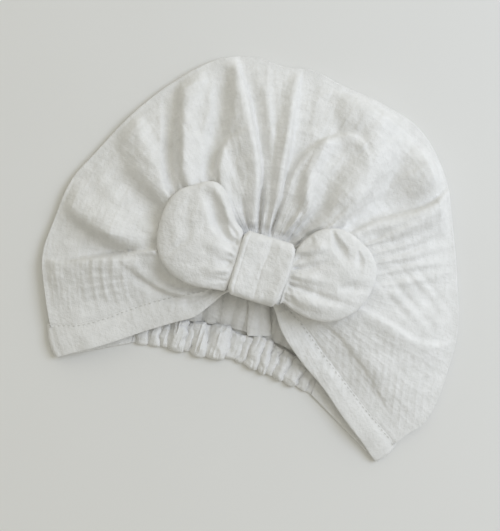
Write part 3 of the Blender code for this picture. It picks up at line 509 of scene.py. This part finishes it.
def frontHeight(x, y, rimHeight):
    # height of the front: loft between outline, hem and knot, plus folds, gathers, creases and puckers, all
    # shallower near the outline and the hems, never below the back, and pressed down by the bow
    fromRim = np.abs(besideCurve(x, y, outlinePath)[0])
    fromEdge = np.minimum(*[np.abs(besideCurve(x, y, path)[0]) for path in edgePaths])
    fromStitch = np.minimum(*[np.abs(besideCurve(x, y, path)[0]) for path in stitchPaths])
    fromKnot = np.hypot(x - knotCentre[0], y - knotCentre[1])
    s, r = clothPlace(x, y)
    turn = s / 110.0
    seed = bag["seed"]
    degrees = np.degrees(turn)
    lofty = (1.0 - bells(degrees, bag["flatter"])) * ease((fromKnot - 14.0) / 34.0)
    loft = bag["knotRest"] + (bag["crownRest"] - bag["knotRest"]) * lofty
    hem = bag["hemRestKnot"] + (bag["hemRestTip"] - bag["hemRestKnot"]) * ease((fromKnot - 24.0) / 90.0)
    loft = hem + (loft - hem) * ease((fromEdge - 7.0) / 32.0)
    t = np.clip(1.0 - fromRim / bag["slope"], 0.0, 1.0)
    height = rimHeight + (loft - rimHeight) * (1.0 - t**2)
    relief = bag["foldScale"] * foldHeights(x, y, folds)
    gather = np.sin(27.0 * turn + 2.6 * cloudNoise(turn * 30.0, r, 17.0, seed))
    gather += 0.5 * np.sin(49.0 * turn + 2.4 * cloudNoise(turn * 30.0, r, 11.0, seed + 1))
    relief += 0.16 * gather * ease((fromKnot - 15.0) / 5.0) * (1.0 - ease((fromKnot - 18.0) / 14.0))
    calm = 1.0 - bells(degrees, bag["calm"])
    relief += 0.7 * calm * cloudNoise(turn * 60.0, r / 3.0, 6.0, seed + 2) * ease((fromKnot - 20.0) / 30.0)
    upper = 0.35 + 0.65 * np.exp(-(((degrees - 95.0) / 62.0) ** 4))
    crisp = ridges(turn * 75.0 + 0.8 * cloudNoise(x, y, 12.0, seed + 5), r / 3.4, 7.0, seed + 6)
    crisp -= ridges(turn * 90.0, r / 3.0, 6.0, seed + 7)
    relief += 0.34 * crisp * upper * calm * ease((fromKnot - 18.0) / 25.0)
    height += relief * np.clip(fromRim / 8.0, 0.3, 1.0) * (0.25 + 0.75 * ease(fromEdge / 16.0))
    across, along = puckers(s, r, seed + 4)
    rows = 0.3 * calm + bells(degrees, bag["rows"])
    cords = 0.3 * calm + bells(degrees, bag["cords"])
    patchy = ease(0.55 + cloudNoise(x, y, 21.0, seed + 9)) * ease((fromKnot - 30.0) / 35.0)
    crinkle = -0.42 * (rows * (along - 0.6) + 0.7 * cords * (across - 0.6)) * (0.3 + 0.7 * patchy)
    lean = math.radians(view["tilt"] - 6.0)
    upright = x * math.cos(lean) + y * math.sin(lean) + 1.3 * cloudNoise(x, y, 15.0, seed + 12)
    lines = np.abs(np.sin(math.pi * upright / bag["upright"])) ** 0.7
    crinkle -= 0.5 * (1.0 - calm) * (lines - 0.6) * ease((fromKnot - 40.0) / 20.0)
    crinkle += 0.32 * cloudNoise(x, y, 8.0, seed + 3) + 0.22 * cloudNoise(x, y, 3.7, seed + 8)
    crinkle += 0.16 * cloudNoise(x, y, 1.9, seed + 10)
    height += crinkle * np.clip(fromRim / 5.0, 0.3, 1.0) * (0.3 + 0.7 * ease(fromEdge / 4.0))
    height -= 0.3 * np.exp(-(fromStitch / 1.3) ** 2)
    lowest = rimHeight + 1.0 + 3.0 * ease(fromRim / 20.0)
    height = lowest + np.logaddexp(0.0, (height - lowest) / 0.8) * 0.8
    reach = ((np.abs(x - knotCentre[0]) / 17.6) ** 4 + (np.abs(y) / 20.6) ** 4) ** 0.25
    height += (np.minimum(height, bag["knotRest"]) - height) * (1.0 - ease((reach - 0.97) / 0.22))
    return np.minimum(height, bowUnderside(x, y))


# crown

def crownGrid():
    # columns run from the stitch lines and a small ring under the knot out to the outline, round the soft fold
    # there and back along the table to the nape casing
    columns = bag["columns"]
    reach = bag["rimReach"]
    first, *inside, last = outline[1:-1]
    first = np.array(first) * (1.0 - reach) + np.array(outline[0]) * reach
    last = np.array(last) * (1.0 - reach) + np.array(outline[-1]) * reach
    rim = curveThrough([first, *inside, last], columns)
    left = curveThrough(hemLine["leftStitch"][::-1], 200)
    right = curveThrough(hemLine["rightStitch"], 200)
    split = [int(columns * share) for share in bag["split"]]
    angle = np.radians(np.linspace(215.0, -35.0, split[1] - split[0] + 2)[1:-1])
    ring = np.stack([-1.0 + 10.0 * np.cos(angle), -5.0 + 8.0 * np.sin(angle)], axis=1)
    under = bag["underHem"]
    left = respace(left, split[0])
    right = respace(right, columns - split[1])
    left = left - outwardOf(left) * under
    right = right - outwardOf(right) * under
    inner = np.concatenate([left, ring, right])
    out = np.linspace(0.0, 1.0, bag["frontRows"])
    out = 0.5 * out + 0.5 * np.sin(out * math.pi / 2.0)
    flat = inner[:, None] + (rim - inner)[:, None] * out[None, :, None]
    low = bag["wall"] / 2.0
    rimFold = rimRise(flat[..., 0], flat[..., 1])
    height = frontHeight(flat[..., 0], flat[..., 1], low + rimFold)
    rimFold = rimFold[:, -1]
    height[:, -1] = low + rimFold
    fromStart = np.linalg.norm(flat - inner[:, None], axis=2)
    sunk = 0.45 * (1.0 - ease((fromStart - under + 0.6) / 1.4))
    height[: split[0]] -= sunk[: split[0]]
    height[split[1]:] -= sunk[split[1]:]
    front = np.concatenate([flat, height[..., None]], axis=2)

    normal = outwardOf(rim)
    angle = np.linspace(0.0, math.pi / 2.0, bag["rimRows"] + 1)[1:]
    place = rim[:, None] - normal[:, None] * (rimFold[:, None] * (1.0 - np.cos(angle)))[..., None]
    level = low + rimFold[:, None] * (1.0 - np.sin(angle))
    fold = np.concatenate([place, level[..., None]], axis=2)

    foot = place[:, -1]
    upper = curveThrough(casing["upper"], 120) + (0.0, 0.8)
    ends = np.concatenate([foot[:1] - normal[:1], upper, foot[-1:] - normal[-1:]])
    ends = respace(ends, columns)
    share = np.linspace(0.0, 1.0, bag["backRows"] + 1)[1:]
    place = foot[:, None] + (ends - foot)[:, None] * share[None, :, None]
    gathers = np.abs(np.sin(np.arange(columns) * 0.21 + 0.8 * np.sin(np.arange(columns) * 0.05))) ** 1.5
    lift = gathers[:, None] * 1.3 * ease((share - 0.45) / 0.5)[None, :]
    lift = lift + 0.5 * (1.0 + cloudNoise(place[..., 0], place[..., 1], 16.0, 31)) * ease(share / 0.2)[None, :]
    back = np.concatenate([place, (low + lift)[..., None]], axis=2)
    grid = np.concatenate([front, fold, back], axis=1)

    s, t = clothPlace(grid[..., 0], grid[..., 1])
    rimRow = bag["frontRows"] - 1
    run = np.linalg.norm(np.diff(grid[:, rimRow:], axis=1), axis=2)
    t[:, rimRow + 1:] = t[:, rimRow:rimRow + 1] + np.cumsum(run, axis=1)
    s[:, rimRow + 1:] = s[:, rimRow:rimRow + 1]
    return grid, np.stack([s, t], axis=2)


def doubleWall(name, grid, cloth, wall):
    # outer face of the grid, an inner face from every second point set in by the wall, and a strip between them
    columns, rows = grid.shape[:2]
    normals = sheetNormals(grid)
    inner = (grid - normals * wall)[::2, ::2]
    outerQuads = gridQuads(columns, rows)
    innerQuads = gridQuads(*inner.shape[:2])[:, ::-1] + columns * rows
    index = np.arange(columns * rows).reshape(columns, rows)
    small = np.arange(inner.shape[0] * inner.shape[1]).reshape(inner.shape[:2]) + columns * rows
    loop = np.concatenate([index[:-1, 0], index[-1, :-1], index[:0:-1, -1], index[0, :0:-1]])
    smallLoop = np.concatenate([small[:-1, 0], small[-1, :-1], small[:0:-1, -1], small[0, :0:-1]])
    a, b, c = loop[0::2], loop[1::2], np.roll(loop, -2)[0::2]
    d, e = smallLoop, np.roll(smallLoop, -1)
    tris = np.concatenate([np.stack(t, axis=1) for t in ((b, a, d), (b, d, e), (c, b, e))])
    points = np.concatenate([grid.reshape(-1, 3), inner.reshape(-1, 3)])
    places = np.concatenate([cloth.reshape(-1, 2), cloth[::2, ::2].reshape(-1, 2)])
    quads = np.concatenate([outerQuads, innerQuads])
    return putMesh(name, points, quads, places, tris)


# nape casing

casing = {
    "lower": [(-60, -62.5), (-43, -59.6), (-22, -57.2), (2, -54.5), (24, -56.5), (47, -61)],
    "upper": [(-60, -46.5), (-40, -43.5), (-20, -39.6), (2, -38.2), (24, -39.8), (47, -46)],
    # ruffles: place along the casing, half-width, height over the plain tube, lean of the upper end, reach beyond
    # the lower edge, reach beyond the upper edge
    "ruffles": [
        (-56.0, 3.4, 2.2, -1, 0.6, 0.0), (-49.0, 3.4, 2.4, -2, 0.8, 0.0), (-43.4, 2.6, 2.2, -3, 0.4, 0.0),
        (-36.0, 5.2, 4.6, -3, 1.6, 1.6), (-29.4, 2.2, 2.6, -1, 0.2, 0.2), (-24.0, 4.7, 4.4, -6, 2.0, 1.4),
        (-12.6, 6.4, 4.8, -1, 2.2, 2.0), (-3.0, 3.8, 2.6, 1, 0.2, -1.4), (2.6, 2.6, 2.4, 1, 1.2, -1.0),
        (8.6, 4.4, 4.8, 0, 2.2, 1.8), (15.0, 3.2, 4.4, -1, 2.6, 1.6), (20.6, 2.9, 3.0, 1.5, 1.6, -0.6),
        (26.6, 3.6, 4.0, 3, 2.0, -0.6), (34.4, 4.4, 3.4, 5, 1.6, -1.0), (42.0, 3.2, 1.8, 4, 0.4, 0.0),
    ],
    "plain": 1.9,  # height of the tube between the ruffles
    "fullness": 2.2,  # length of cloth gathered into one length of casing
    "columns": 640,
    "ring": 72,
}


def buildCasing():
    # tube round the elastic: a flat-bottomed oval carried along the nape, swollen by boxy ruffles with sharp
    # creases between them
    lower = curveThrough(casing["lower"], casing["columns"])
    upper = curveThrough(casing["upper"], casing["columns"])
    ring = fullTurn(casing["ring"])
    across = 0.5 - 0.5 * blunt(np.cos(ring), 0.7)
    lift = np.maximum(np.sin(ring), 0.0) ** 0.5
    place = lower[:, None] + (upper - lower)[:, None] * across[None, :, None]
    x, y = place[..., 0], place[..., 1]
    wander = 1.1 * cloudNoise(x * 0.5, y * 2.0, 6.0, 51)
    swell = np.zeros(x.shape)
    reach = np.zeros(x.shape)
    for at, half, height, lean, down, up in casing["ruffles"]:
        gap = (x + wander - at - lean * (across - 0.5)) / half
        gap = gap - 0.28 * (1.0 - gap**2) * (np.abs(gap) < 1.0)
        shape = np.clip(1.0 - np.abs(gap) ** 2.6, 0.0, 1.0) ** 0.62
        higher = shape * height > swell
        swell = np.where(higher, shape * height, swell)
        reach = np.where(higher, shape * np.where(across < 0.5, -down, up), reach)
    outwards = np.abs(across - 0.5)[None, :] * 2.0
    strength = swell / 4.8
    crumple = 0.9 * ridges(x + 0.5 * wander, y / 2.6, 2.9, 52)
    crumple -= 0.8 * ridges(x + 0.7 * wander, y / 2.2, 3.6, 55)
    crumple += 0.5 * cloudNoise(x, y, 2.2, 53)
    belt = 1.0 - 0.16 * np.exp(-(((across - 0.84) / 0.05) ** 2))
    z = lift * (casing["plain"] + (swell + crumple * strength) * belt)
    y = y + reach * outwards + 0.4 * cloudNoise(x, y, 3.0, 54) * strength
    x = x + 0.3 * wander * strength
    cloth = np.stack([x * casing["fullness"], y + z], axis=2)
    return putTube("nape_casing", np.stack([x, y, z], axis=2), cloth, False)


# hems

hemShape = {
    "cornerBulge": 0.6,  # how far the hem's end bows out at the side tip
    "thick": 2.0,
    "frontColumns": 220,
    "foldColumns": 10,
    "backColumns": 60,
    "ring": 36,
}


def buildHem(side):
    # flattened tube along the face opening, round the side tip and back to the casing: a sheet between the free
    # edge and the stitch line, thickened by a round profile that is thin at the stitch line
    edge = curveThrough(hemLine[side + "Edge"], hemShape["frontColumns"])
    stitch = curveThrough(hemLine[side + "Stitch"], hemShape["frontColumns"])
    ring = fullTurn(hemShape["ring"])
    across = 0.5 - 0.5 * np.cos(ring)
    low = hemShape["thick"] / 2.0
    rimHeight = bag["wall"] / 2.0 + rimRise(*stitch[-1])
    flat = edge[:, None] + (stitch - edge)[:, None] * across[None, :, None]
    endRun = stitch[-1] - edge[-1]
    endOut = np.array([endRun[1], -endRun[0]]) / np.linalg.norm(endRun) * (1.0 if side == "right" else -1.0)
    near = ease((np.linspace(0.0, 1.0, len(edge)) - 0.9) / 0.1)[:, None, None]
    flat = flat + endOut * (hemShape["cornerBulge"] * 4.0 * across * (1.0 - across))[None, :, None] * near
    x, y = flat[..., 0], flat[..., 1]
    height = frontHeight(x, y, bag["wall"] / 2.0 + rimRise(x, y))
    wave = 0.8 * cloudNoise(x, y, 9.0, 61) * (1.0 - across)
    wave *= ease(np.linspace(0.0, 8.0, len(edge)))[:, None]
    towardsTip = ease((np.linspace(0.0, 1.0, len(edge)) - 0.965) / 0.035)[:, None]
    height = (height + wave) * (1.0 - towardsTip) + rimHeight * towardsTip
    centre = np.concatenate([flat, height[..., None]], axis=2)
    tip = centre[-1]
    run = tip[len(ring) // 2] - tip[0]
    out = np.array([-run[1], run[0], 0.0]) / np.linalg.norm(run[:2])
    if np.dot(out[:2], tip[0, :2] - edge[-20]) < 0:
        out = -out
    angle = np.linspace(0.0, math.pi, hemShape["foldColumns"] + 2)[1:-1]
    lift = (rimHeight - low) * 0.5
    down = np.array([0.0, 0.0, -1.0])
    sin, cos = np.sin(angle)[:, None, None], np.cos(angle)[:, None, None]
    fold = tip + out * sin * lift + down * (1.0 - cos) * lift
    end = -1 if side == "right" else 0
    foot, top = np.array(casing["lower"][end]), np.array(casing["upper"][end])
    target = foot + (top - foot) * across[:, None]
    share = np.linspace(0.0, 1.0, hemShape["backColumns"])
    back = tip[None, :, :2] + (target - tip[:, :2])[None] * share[:, None, None]
    slack = low + 0.3 * (1.0 + cloudNoise(back[..., 0], back[..., 1], 9.0, 62)) * share[:, None]
    back = np.concatenate([back, slack[..., None]], axis=2)
    centre = np.concatenate([centre, fold, back])
    run = unit(np.gradient(centre[:, len(ring) // 4], axis=0))
    span = centre[:, len(ring) // 2] - centre[:, 0]
    normal = unit(np.cross(run, span))
    upwards = normal[10, 2] > 0
    if not upwards:
        normal = -normal
    thick = low * blunt(np.sin(ring), 0.6)
    thinner = ease((across - 0.55) / 0.45)
    thick = thick * (1.0 - 0.62 * thinner) - 0.3 * thinner
    points = centre + normal[:, None] * thick[None, :, None]
    points[..., 2] = np.maximum(points[..., 2], 0.02)
    cloth = np.stack(clothPlace(centre[..., 0], centre[..., 1]), axis=2)
    return putTube("hem_" + side + "_band", points, cloth, not upwards)


# seam allowance inside the back

seam = {
    "line": [(8.6, -37.5), (6.4, -30), (3.2, -19), (1, 20), (-2, 92)],
    "breadth": 13.6,
    "rest": 1.4,  # height of its underside
    "thick": 3.4,
    "columns": 160,
    "ring": 32,
}


def buildSeam():
    # flat strip with round edges and a slight ripple, lying on the inside of the back
    line = curveThrough(seam["line"], seam["columns"])
    side = -outwardOf(line)
    ring = fullTurn(seam["ring"])
    across = -0.5 * np.cos(ring)
    along = np.linspace(0.0, 1.0, seam["columns"])[:, None]
    breadth = seam["breadth"] * (1.0 + 0.06 * np.sin(along * 40.0))
    flat = line[:, None] + side[:, None] * across[None, :, None] * breadth[..., None]
    lift = 0.5 + 0.5 * blunt(np.sin(ring), 0.6)
    groove = 1.0 - 0.25 * np.exp(-((across / 0.06) ** 2))
    thick = seam["thick"] + 0.4 * cloudNoise(flat[..., 0], flat[..., 1], 6.0, 71)
    z = seam["rest"] + lift * groove * thick
    return putTube("back_seam_allowance", np.concatenate([flat, z[..., None]], axis=2), flat, True)


# bow

def buildBow():
    # padded strip: sections between a lower and an upper edge, thick in the lobes, thin at the sewn ends, gathered
    # where it enters the knot, with creases pressed into its upper side
    start, end = bowTable[0, 0], bowTable[-1, 0]
    share = np.linspace(0.0, 1.0, bow["columns"])
    x = start + (end - start) * (share - 0.045 * np.sin(4.0 * math.pi * share))
    low = np.interp(x, bowLow[:, 0], bowLow[:, 1])
    high = np.interp(x, bowHigh[:, 0], bowHigh[:, 1])
    past = np.maximum(bow["knot"][0] - x, x - bow["knot"][1])
    inside = past < 0.4
    low = np.where(inside, -16.1, low)
    high = np.where(inside, 15.1, high)
    waist = bow["waist"][1] - bow["waist"][0]
    full = waist + (bow["thick"] - waist) * ease((past - 0.5) / 14.0)
    toEnd = np.minimum(x - start, end - x)
    thick = full * (0.16 + 0.84 * np.sqrt(1.0 - np.clip(1.0 - toEnd / 24.0, 0.0, 1.0) ** 2))
    ring = fullTurn(bow["ring"])
    cosine = blunt(np.cos(ring), 0.9)
    sine = blunt(np.sin(ring), 0.7)
    y = (low + high)[:, None] / 2.0 + (high - low)[:, None] / 2.0 * cosine
    placeX = np.broadcast_to(x[:, None], y.shape)
    under = bow["waist"][0] + (bow["underside"] - bow["waist"][0]) * ease((past - 0.5) / 8.0)
    lift = np.where(past > 0, (bow["thick"] - thick) * 0.35, 0.0)
    z = (under + lift)[:, None] + thick[:, None] * (0.5 + 0.5 * sine)
    upper = np.clip(sine, 0.0, 1.0) * ease((past - 0.4) / 3.0)[:, None]
    relief = foldHeights(placeX, y, bow["folds"])
    fan = np.arctan2(y, np.abs(placeX + 1.5) - 10.0)
    gather = np.sin(17.0 * fan + 2.0 * cloudNoise(placeX, y, 8.0, 81))
    relief = relief + 0.6 * gather * np.exp(-np.maximum(past, 0.0) / 8.0)[:, None]
    relief = relief + 0.4 * cloudNoise(placeX, y, 10.0, 82) + 0.22 * cloudNoise(placeX, y, 4.0, 83)
    relief = relief + 0.25 * (ridges(placeX / 2.0, y, 6.0, 84) - ridges(placeX / 1.6, y, 7.0, 85))
    relief = relief + 0.12 * cloudNoise(placeX, y, 1.9, 86)
    points = np.stack([placeX, y, z + relief * upper * (thick / full)[:, None]], axis=2)
    return putTube("bow_lobes", points, points[..., :2], True)


# knot

knot = {
    "x": (-16.5, 13.5),
    "innerY": (-16.6, 15.6),
    "innerZ": (16.7, 26.3),
    "wall": 2.4,
    "corner": 5.2,
    "cornerPull": 1.4,  # how far the band's ends draw in at its top and bottom bend
    "bulge": 0.7,  # how far its right rim swells out halfway
    "narrower": 1.3,  # how much less wide it is at its lower end
    "columns": 90,
    "corners": 16,
    "ring": 160,
}


def roundedOblong(halfY, halfZ, corner):
    # closed rounded rectangle: four straight sides between quarter circles, with points along the sides too
    points = []
    for cy, cz, first in ((1, 1, 0.0), (-1, 1, 0.5), (-1, -1, 1.0), (1, -1, 1.5)):
        angle = (first + 0.5 * np.linspace(0.0, 1.0, knot["corners"])) * math.pi
        points.append(np.stack([
            cy * (halfY - corner) + corner * np.cos(angle), cz * (halfZ - corner) + corner * np.sin(angle)
        ], axis=1))
    loop = np.concatenate(points)
    return respace(np.concatenate([loop, loop[:1]]), knot["ring"] + 1)[:-1]


def buildKnot():
    # folded band round the bow's waist: an oblong ring swept along X, rolled in at both rims, with a dent across
    # its top where one half laps over the other
    halfY = (knot["innerY"][1] - knot["innerY"][0]) / 2.0
    halfZ = (knot["innerZ"][1] - knot["innerZ"][0]) / 2.0
    centre = np.array([np.mean(knot["innerY"]), np.mean(knot["innerZ"])])
    inner = roundedOblong(halfY, halfZ, knot["corner"] - knot["wall"])
    outer = roundedOblong(halfY + knot["wall"], halfZ + knot["wall"], knot["corner"])
    share = np.linspace(0.0, 1.0, knot["columns"])
    x = knot["x"][0] + (knot["x"][1] - knot["x"][0]) * share
    rolled = np.clip(np.minimum(share, 1.0 - share) / 0.06, 0.0, 1.0)
    full = np.sqrt(1.0 - (1.0 - rolled) ** 2)
    shape = inner[None] + (outer - inner)[None] * (0.15 + 0.85 * full)[:, None, None]
    top = np.clip(shape[..., 1] / (halfZ + knot["wall"]), 0.0, 1.0) ** 3
    y = shape[..., 0]
    fromDent = x[:, None] + 1.0 - 0.03 * y - 0.9 * cloudNoise(y, y * 0.0, 9.0, 91)
    overlap = 0.5 - 0.5 * np.tanh(fromDent / 0.7)
    fall = -0.12 * (fromDent + 13.0) * overlap
    climb = (-1.56 + 0.18 * np.clip(fromDent, 0.0, 11.0)) * (1.0 - overlap)
    climb = climb - 0.2 * np.exp(-((fromDent / 0.7) ** 2))
    edgeFold = 0.2 * hump(x[:, None] + 14.4, 1.2) - 0.25 * hump(x[:, None] + 13.2, 0.8)
    wideX = np.broadcast_to(x[:, None], y.shape)
    creases = 0.35 * cloudNoise(wideX, y / 2.5, 5.0, 92) + 0.2 * cloudNoise(wideX, y, 2.4, 93)
    rise = (fall + climb + edgeFold + creases) * top * full[:, None]
    middle = (knot["x"][0] + knot["x"][1]) / 2.0
    beside = (x[:, None] - middle) / (knot["x"][1] - middle)
    towardsBend = np.abs(y) / (halfY + knot["wall"])
    inwards = knot["cornerPull"] * ease((towardsBend - 0.7) / 0.3)
    inwards = inwards - knot["bulge"] * (1.0 - towardsBend**2) * (beside > 0)
    lean = knot["narrower"] * np.clip(-y / halfY, 0.0, 1.0) * (beside > 0)
    place = np.stack([
        x[:, None] - beside * (inwards + lean), y + centre[0], shape[..., 1] + centre[1] + rise,
    ], axis=2)
    lining = np.stack([np.broadcast_to(inner[:, 0], y.shape[1:]), inner[:, 1]], axis=1)
    back = [np.concatenate([np.full((len(inner), 1), at), lining + centre], axis=1) for at in (x[-1], x[0])]
    points = np.concatenate([place, np.array(back)])
    columns, size = points.shape[:2]
    quads = gridQuads(columns, size, closeColumns=True, closeRows=True)[:, ::-1]
    around = np.broadcast_to(np.arange(size) * 0.6, points.shape[:2])
    cloth = np.stack([points[..., 0], around], axis=2)
    return putMesh("knot_band", points, quads, cloth)


# stitches

stitchShape = {
    "pitch": 2.7,
    "length": 1.9,
    "radius": 0.25,
    "inset": 1.1,  # how far the row lies inside the hem's edge
    "sides": 6,
    "rows": 5,
}


def buildStitches(side):
    # a row of short thread capsules along the stitch line, each dipping into the cloth at both ends
    line = curveThrough(hemLine[side + "Stitch"], 900)
    total = np.linalg.norm(np.diff(line, axis=0), axis=1).sum()
    count = int(total / stitchShape["pitch"])
    places = respace(line, count)[6:-2]
    run = unit(np.gradient(places, axis=0))
    sideways = outwardOf(places)
    places = places + sideways * stitchShape["inset"] * (-1.0 if side == "right" else 1.0)
    jitter = np.random.default_rng(101).normal(0.0, 0.08, len(places))
    t = np.linspace(-1.0, 1.0, stitchShape["rows"])
    ring = fullTurn(stitchShape["sides"])
    radius = stitchShape["radius"] * np.sqrt(np.clip(1.0 - np.abs(t) ** 3, 0.03, 1.0))
    half = stitchShape["length"] / 2.0
    flat = (
        places[:, None, None]
        + run[:, None, None] * (t * half)[None, :, None, None]
        + sideways[:, None, None] * (radius[:, None] * np.cos(ring))[None, :, :, None]
        + (sideways * jitter[:, None])[:, None, None]
    )
    x, y = flat[:, :, 0, 0], flat[:, :, 0, 1]
    base = frontHeight(x, y, bag["wall"] / 2.0 + rimRise(x, y))
    z = base[..., None] + 0.18 - 0.3 * t[None, :, None] ** 2 + (radius[:, None] * np.sin(ring))[None]
    points = np.concatenate([flat, z[..., None]], axis=3)
    rows, sides = stitchShape["rows"], stitchShape["sides"]
    quads = gridQuads(rows, sides, closeRows=True)
    each = np.arange(len(places))[:, None, None] * rows * sides
    quads = (quads[None] + each).reshape(-1, 4)
    ends = []
    for first, flip in ((0, 1), ((rows - 1) * sides, -1)):
        fan = first + np.arange(sides)[::flip]
        ends.append(np.stack([np.full(sides - 2, fan[0]), fan[2:], fan[1:-1]], axis=1))
    tris = (np.concatenate(ends)[None] + each).reshape(-1, 3)
    cloth = points[..., :2].reshape(-1, 2)
    return putMesh("hem_" + side + "_stitches", points.reshape(-1, 3), quads, cloth, tris)


# build the cap

def dress(piece, material, slot, *nodes):
    # material and body of a piece, and the nodes of the solid part that it stands for, which are hidden; slot is
    # not used
    piece.data.materials.clear()
    piece.data.materials.append(material)
    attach(piece, "root")
    if nodes:
        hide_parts(*nodes)
    print(piece.name, len(piece.data.polygons), "faces")
    return piece


grid, cloth = crownGrid()
crown = dress(doubleWall("crown_gauze", grid, cloth, bag["wall"]), gauzeMaterial, "double_gauze",
             "crown_left", "crown_right", "crown_back")
hemLeft = dress(buildHem("left"), hemMaterial, "hem_gauze", "hem_left")
hemRight = dress(buildHem("right"), hemMaterial, "hem_gauze", "hem_right")
napeCasing = dress(buildCasing(), hemMaterial, "hem_gauze", "back_casing")
backSeam = dress(buildSeam(), gauzeMaterial, "double_gauze", "back_seam")
bowLobes = dress(buildBow(), bowMaterial, "bow_gauze", "bow")
knotBand = dress(buildKnot(), bowMaterial, "bow_gauze", "knot")
stitches = [dress(buildStitches(side), shadedThreadMaterial, "hem_gauze") for side in ("left", "right")]
print("cap built")


# table, light and camera

room = {
    "table": "#E3E2DF",
    "tableHalf": 4000.0,
    "air": 0.52,  # light from all round
    "airColour": (1.0, 0.986, 0.885),
    "lean": (0.16, 0.54, 0.26),  # how much more of it comes from the picture's upper right
    "window": 4.6,  # watts of the large soft window there
    "windowColour": (0.86, 0.97, 1.2),
    "windowSize": 600.0,
    "windowFrom": (620.0, 450.0, 790.0),
}


def buildTable():
    # flat sheet under the cap, larger than any view
    half = room["tableHalf"]
    points = [(-half, -half, 0), (half, -half, 0), (half, half, 0), (-half, half, 0)]
    table = putMesh("table", points, [(0, 1, 2, 3)])
    material = bpy.data.materials.new("matt_white_board")
    material.use_nodes = True
    tree = material.node_tree
    shader = tree.nodes["Principled BSDF"]
    place = addNode(tree, "ShaderNodeTexCoord")
    grain = addNode(tree, "ShaderNodeTexNoise", [("Vector", place.outputs["Object"])],
                    Scale=1.0 / (60.0 * mm), Detail=4.0)
    tone = addNode(tree, "ShaderNodeValToRGB", [("Fac", grain.outputs["Fac"])])
    r, g, b = linear(room["table"])
    tone.color_ramp.elements[0].color = (r * 0.985, g * 0.985, b * 0.98, 1.0)
    tone.color_ramp.elements[1].color = (r, g, b, 1.0)
    tree.links.new(tone.outputs["Color"], shader.inputs["Base Color"])
    shader.inputs["Roughness"].default_value = 0.9
    shader.inputs["Specular IOR Level"].default_value = 0.1
    table.data.materials.append(material)


def buildLight():
    # a pale surround, air * (1 + lean . direction) bright, and one large soft window aimed at the cap
    world = bpy.data.worlds.new("pale_room")
    world.use_nodes = True
    tree = world.node_tree
    tree.nodes["Background"].inputs["Color"].default_value = (*room["airColour"], 1.0)
    heading = addNode(tree, "ShaderNodeTexCoord").outputs["Generated"]
    towards = addNode(tree, "ShaderNodeVectorMath", [(0, heading)], operation="DOT_PRODUCT", second=room["lean"])
    more = addNode(tree, "ShaderNodeMath", [(0, towards.outputs["Value"])], operation="ADD", second=1.0)
    strength = addNode(tree, "ShaderNodeMath", [(0, more.outputs[0])], operation="MULTIPLY", second=room["air"])
    tree.links.new(strength.outputs[0], tree.nodes["Background"].inputs["Strength"])
    bpy.context.scene.world = world
    lamp = bpy.data.lights.new("window", "AREA")
    lamp.shape = "SQUARE"
    lamp.size = room["windowSize"] * mm
    lamp.energy = room["window"]
    lamp.color = room["windowColour"]
    window = bpy.data.objects.new("window", lamp)
    window.location = [c * mm for c in room["windowFrom"]]
    window.rotation_euler = (-window.location).to_track_quat("-Z", "Y").to_euler()
    bpy.context.scene.collection.objects.link(window)


def buildCamera():
    # straight above, turned so that the cap leans clockwise as it lies
    camera = bpy.data.objects.new("camera", bpy.data.cameras.new("camera"))
    camera.data.lens = view["lens"]
    camera.location = (view["centre"][0] * mm, view["centre"][1] * mm, view["height"] * mm)
    camera.rotation_euler = (0.0, 0.0, math.radians(view["tilt"]))
    bpy.context.scene.collection.objects.link(camera)
    bpy.context.scene.camera = camera


buildTable()
buildLight()
buildCamera()
bpy.context.scene.view_settings.view_transform = "Standard"
print("table, light and camera ready")
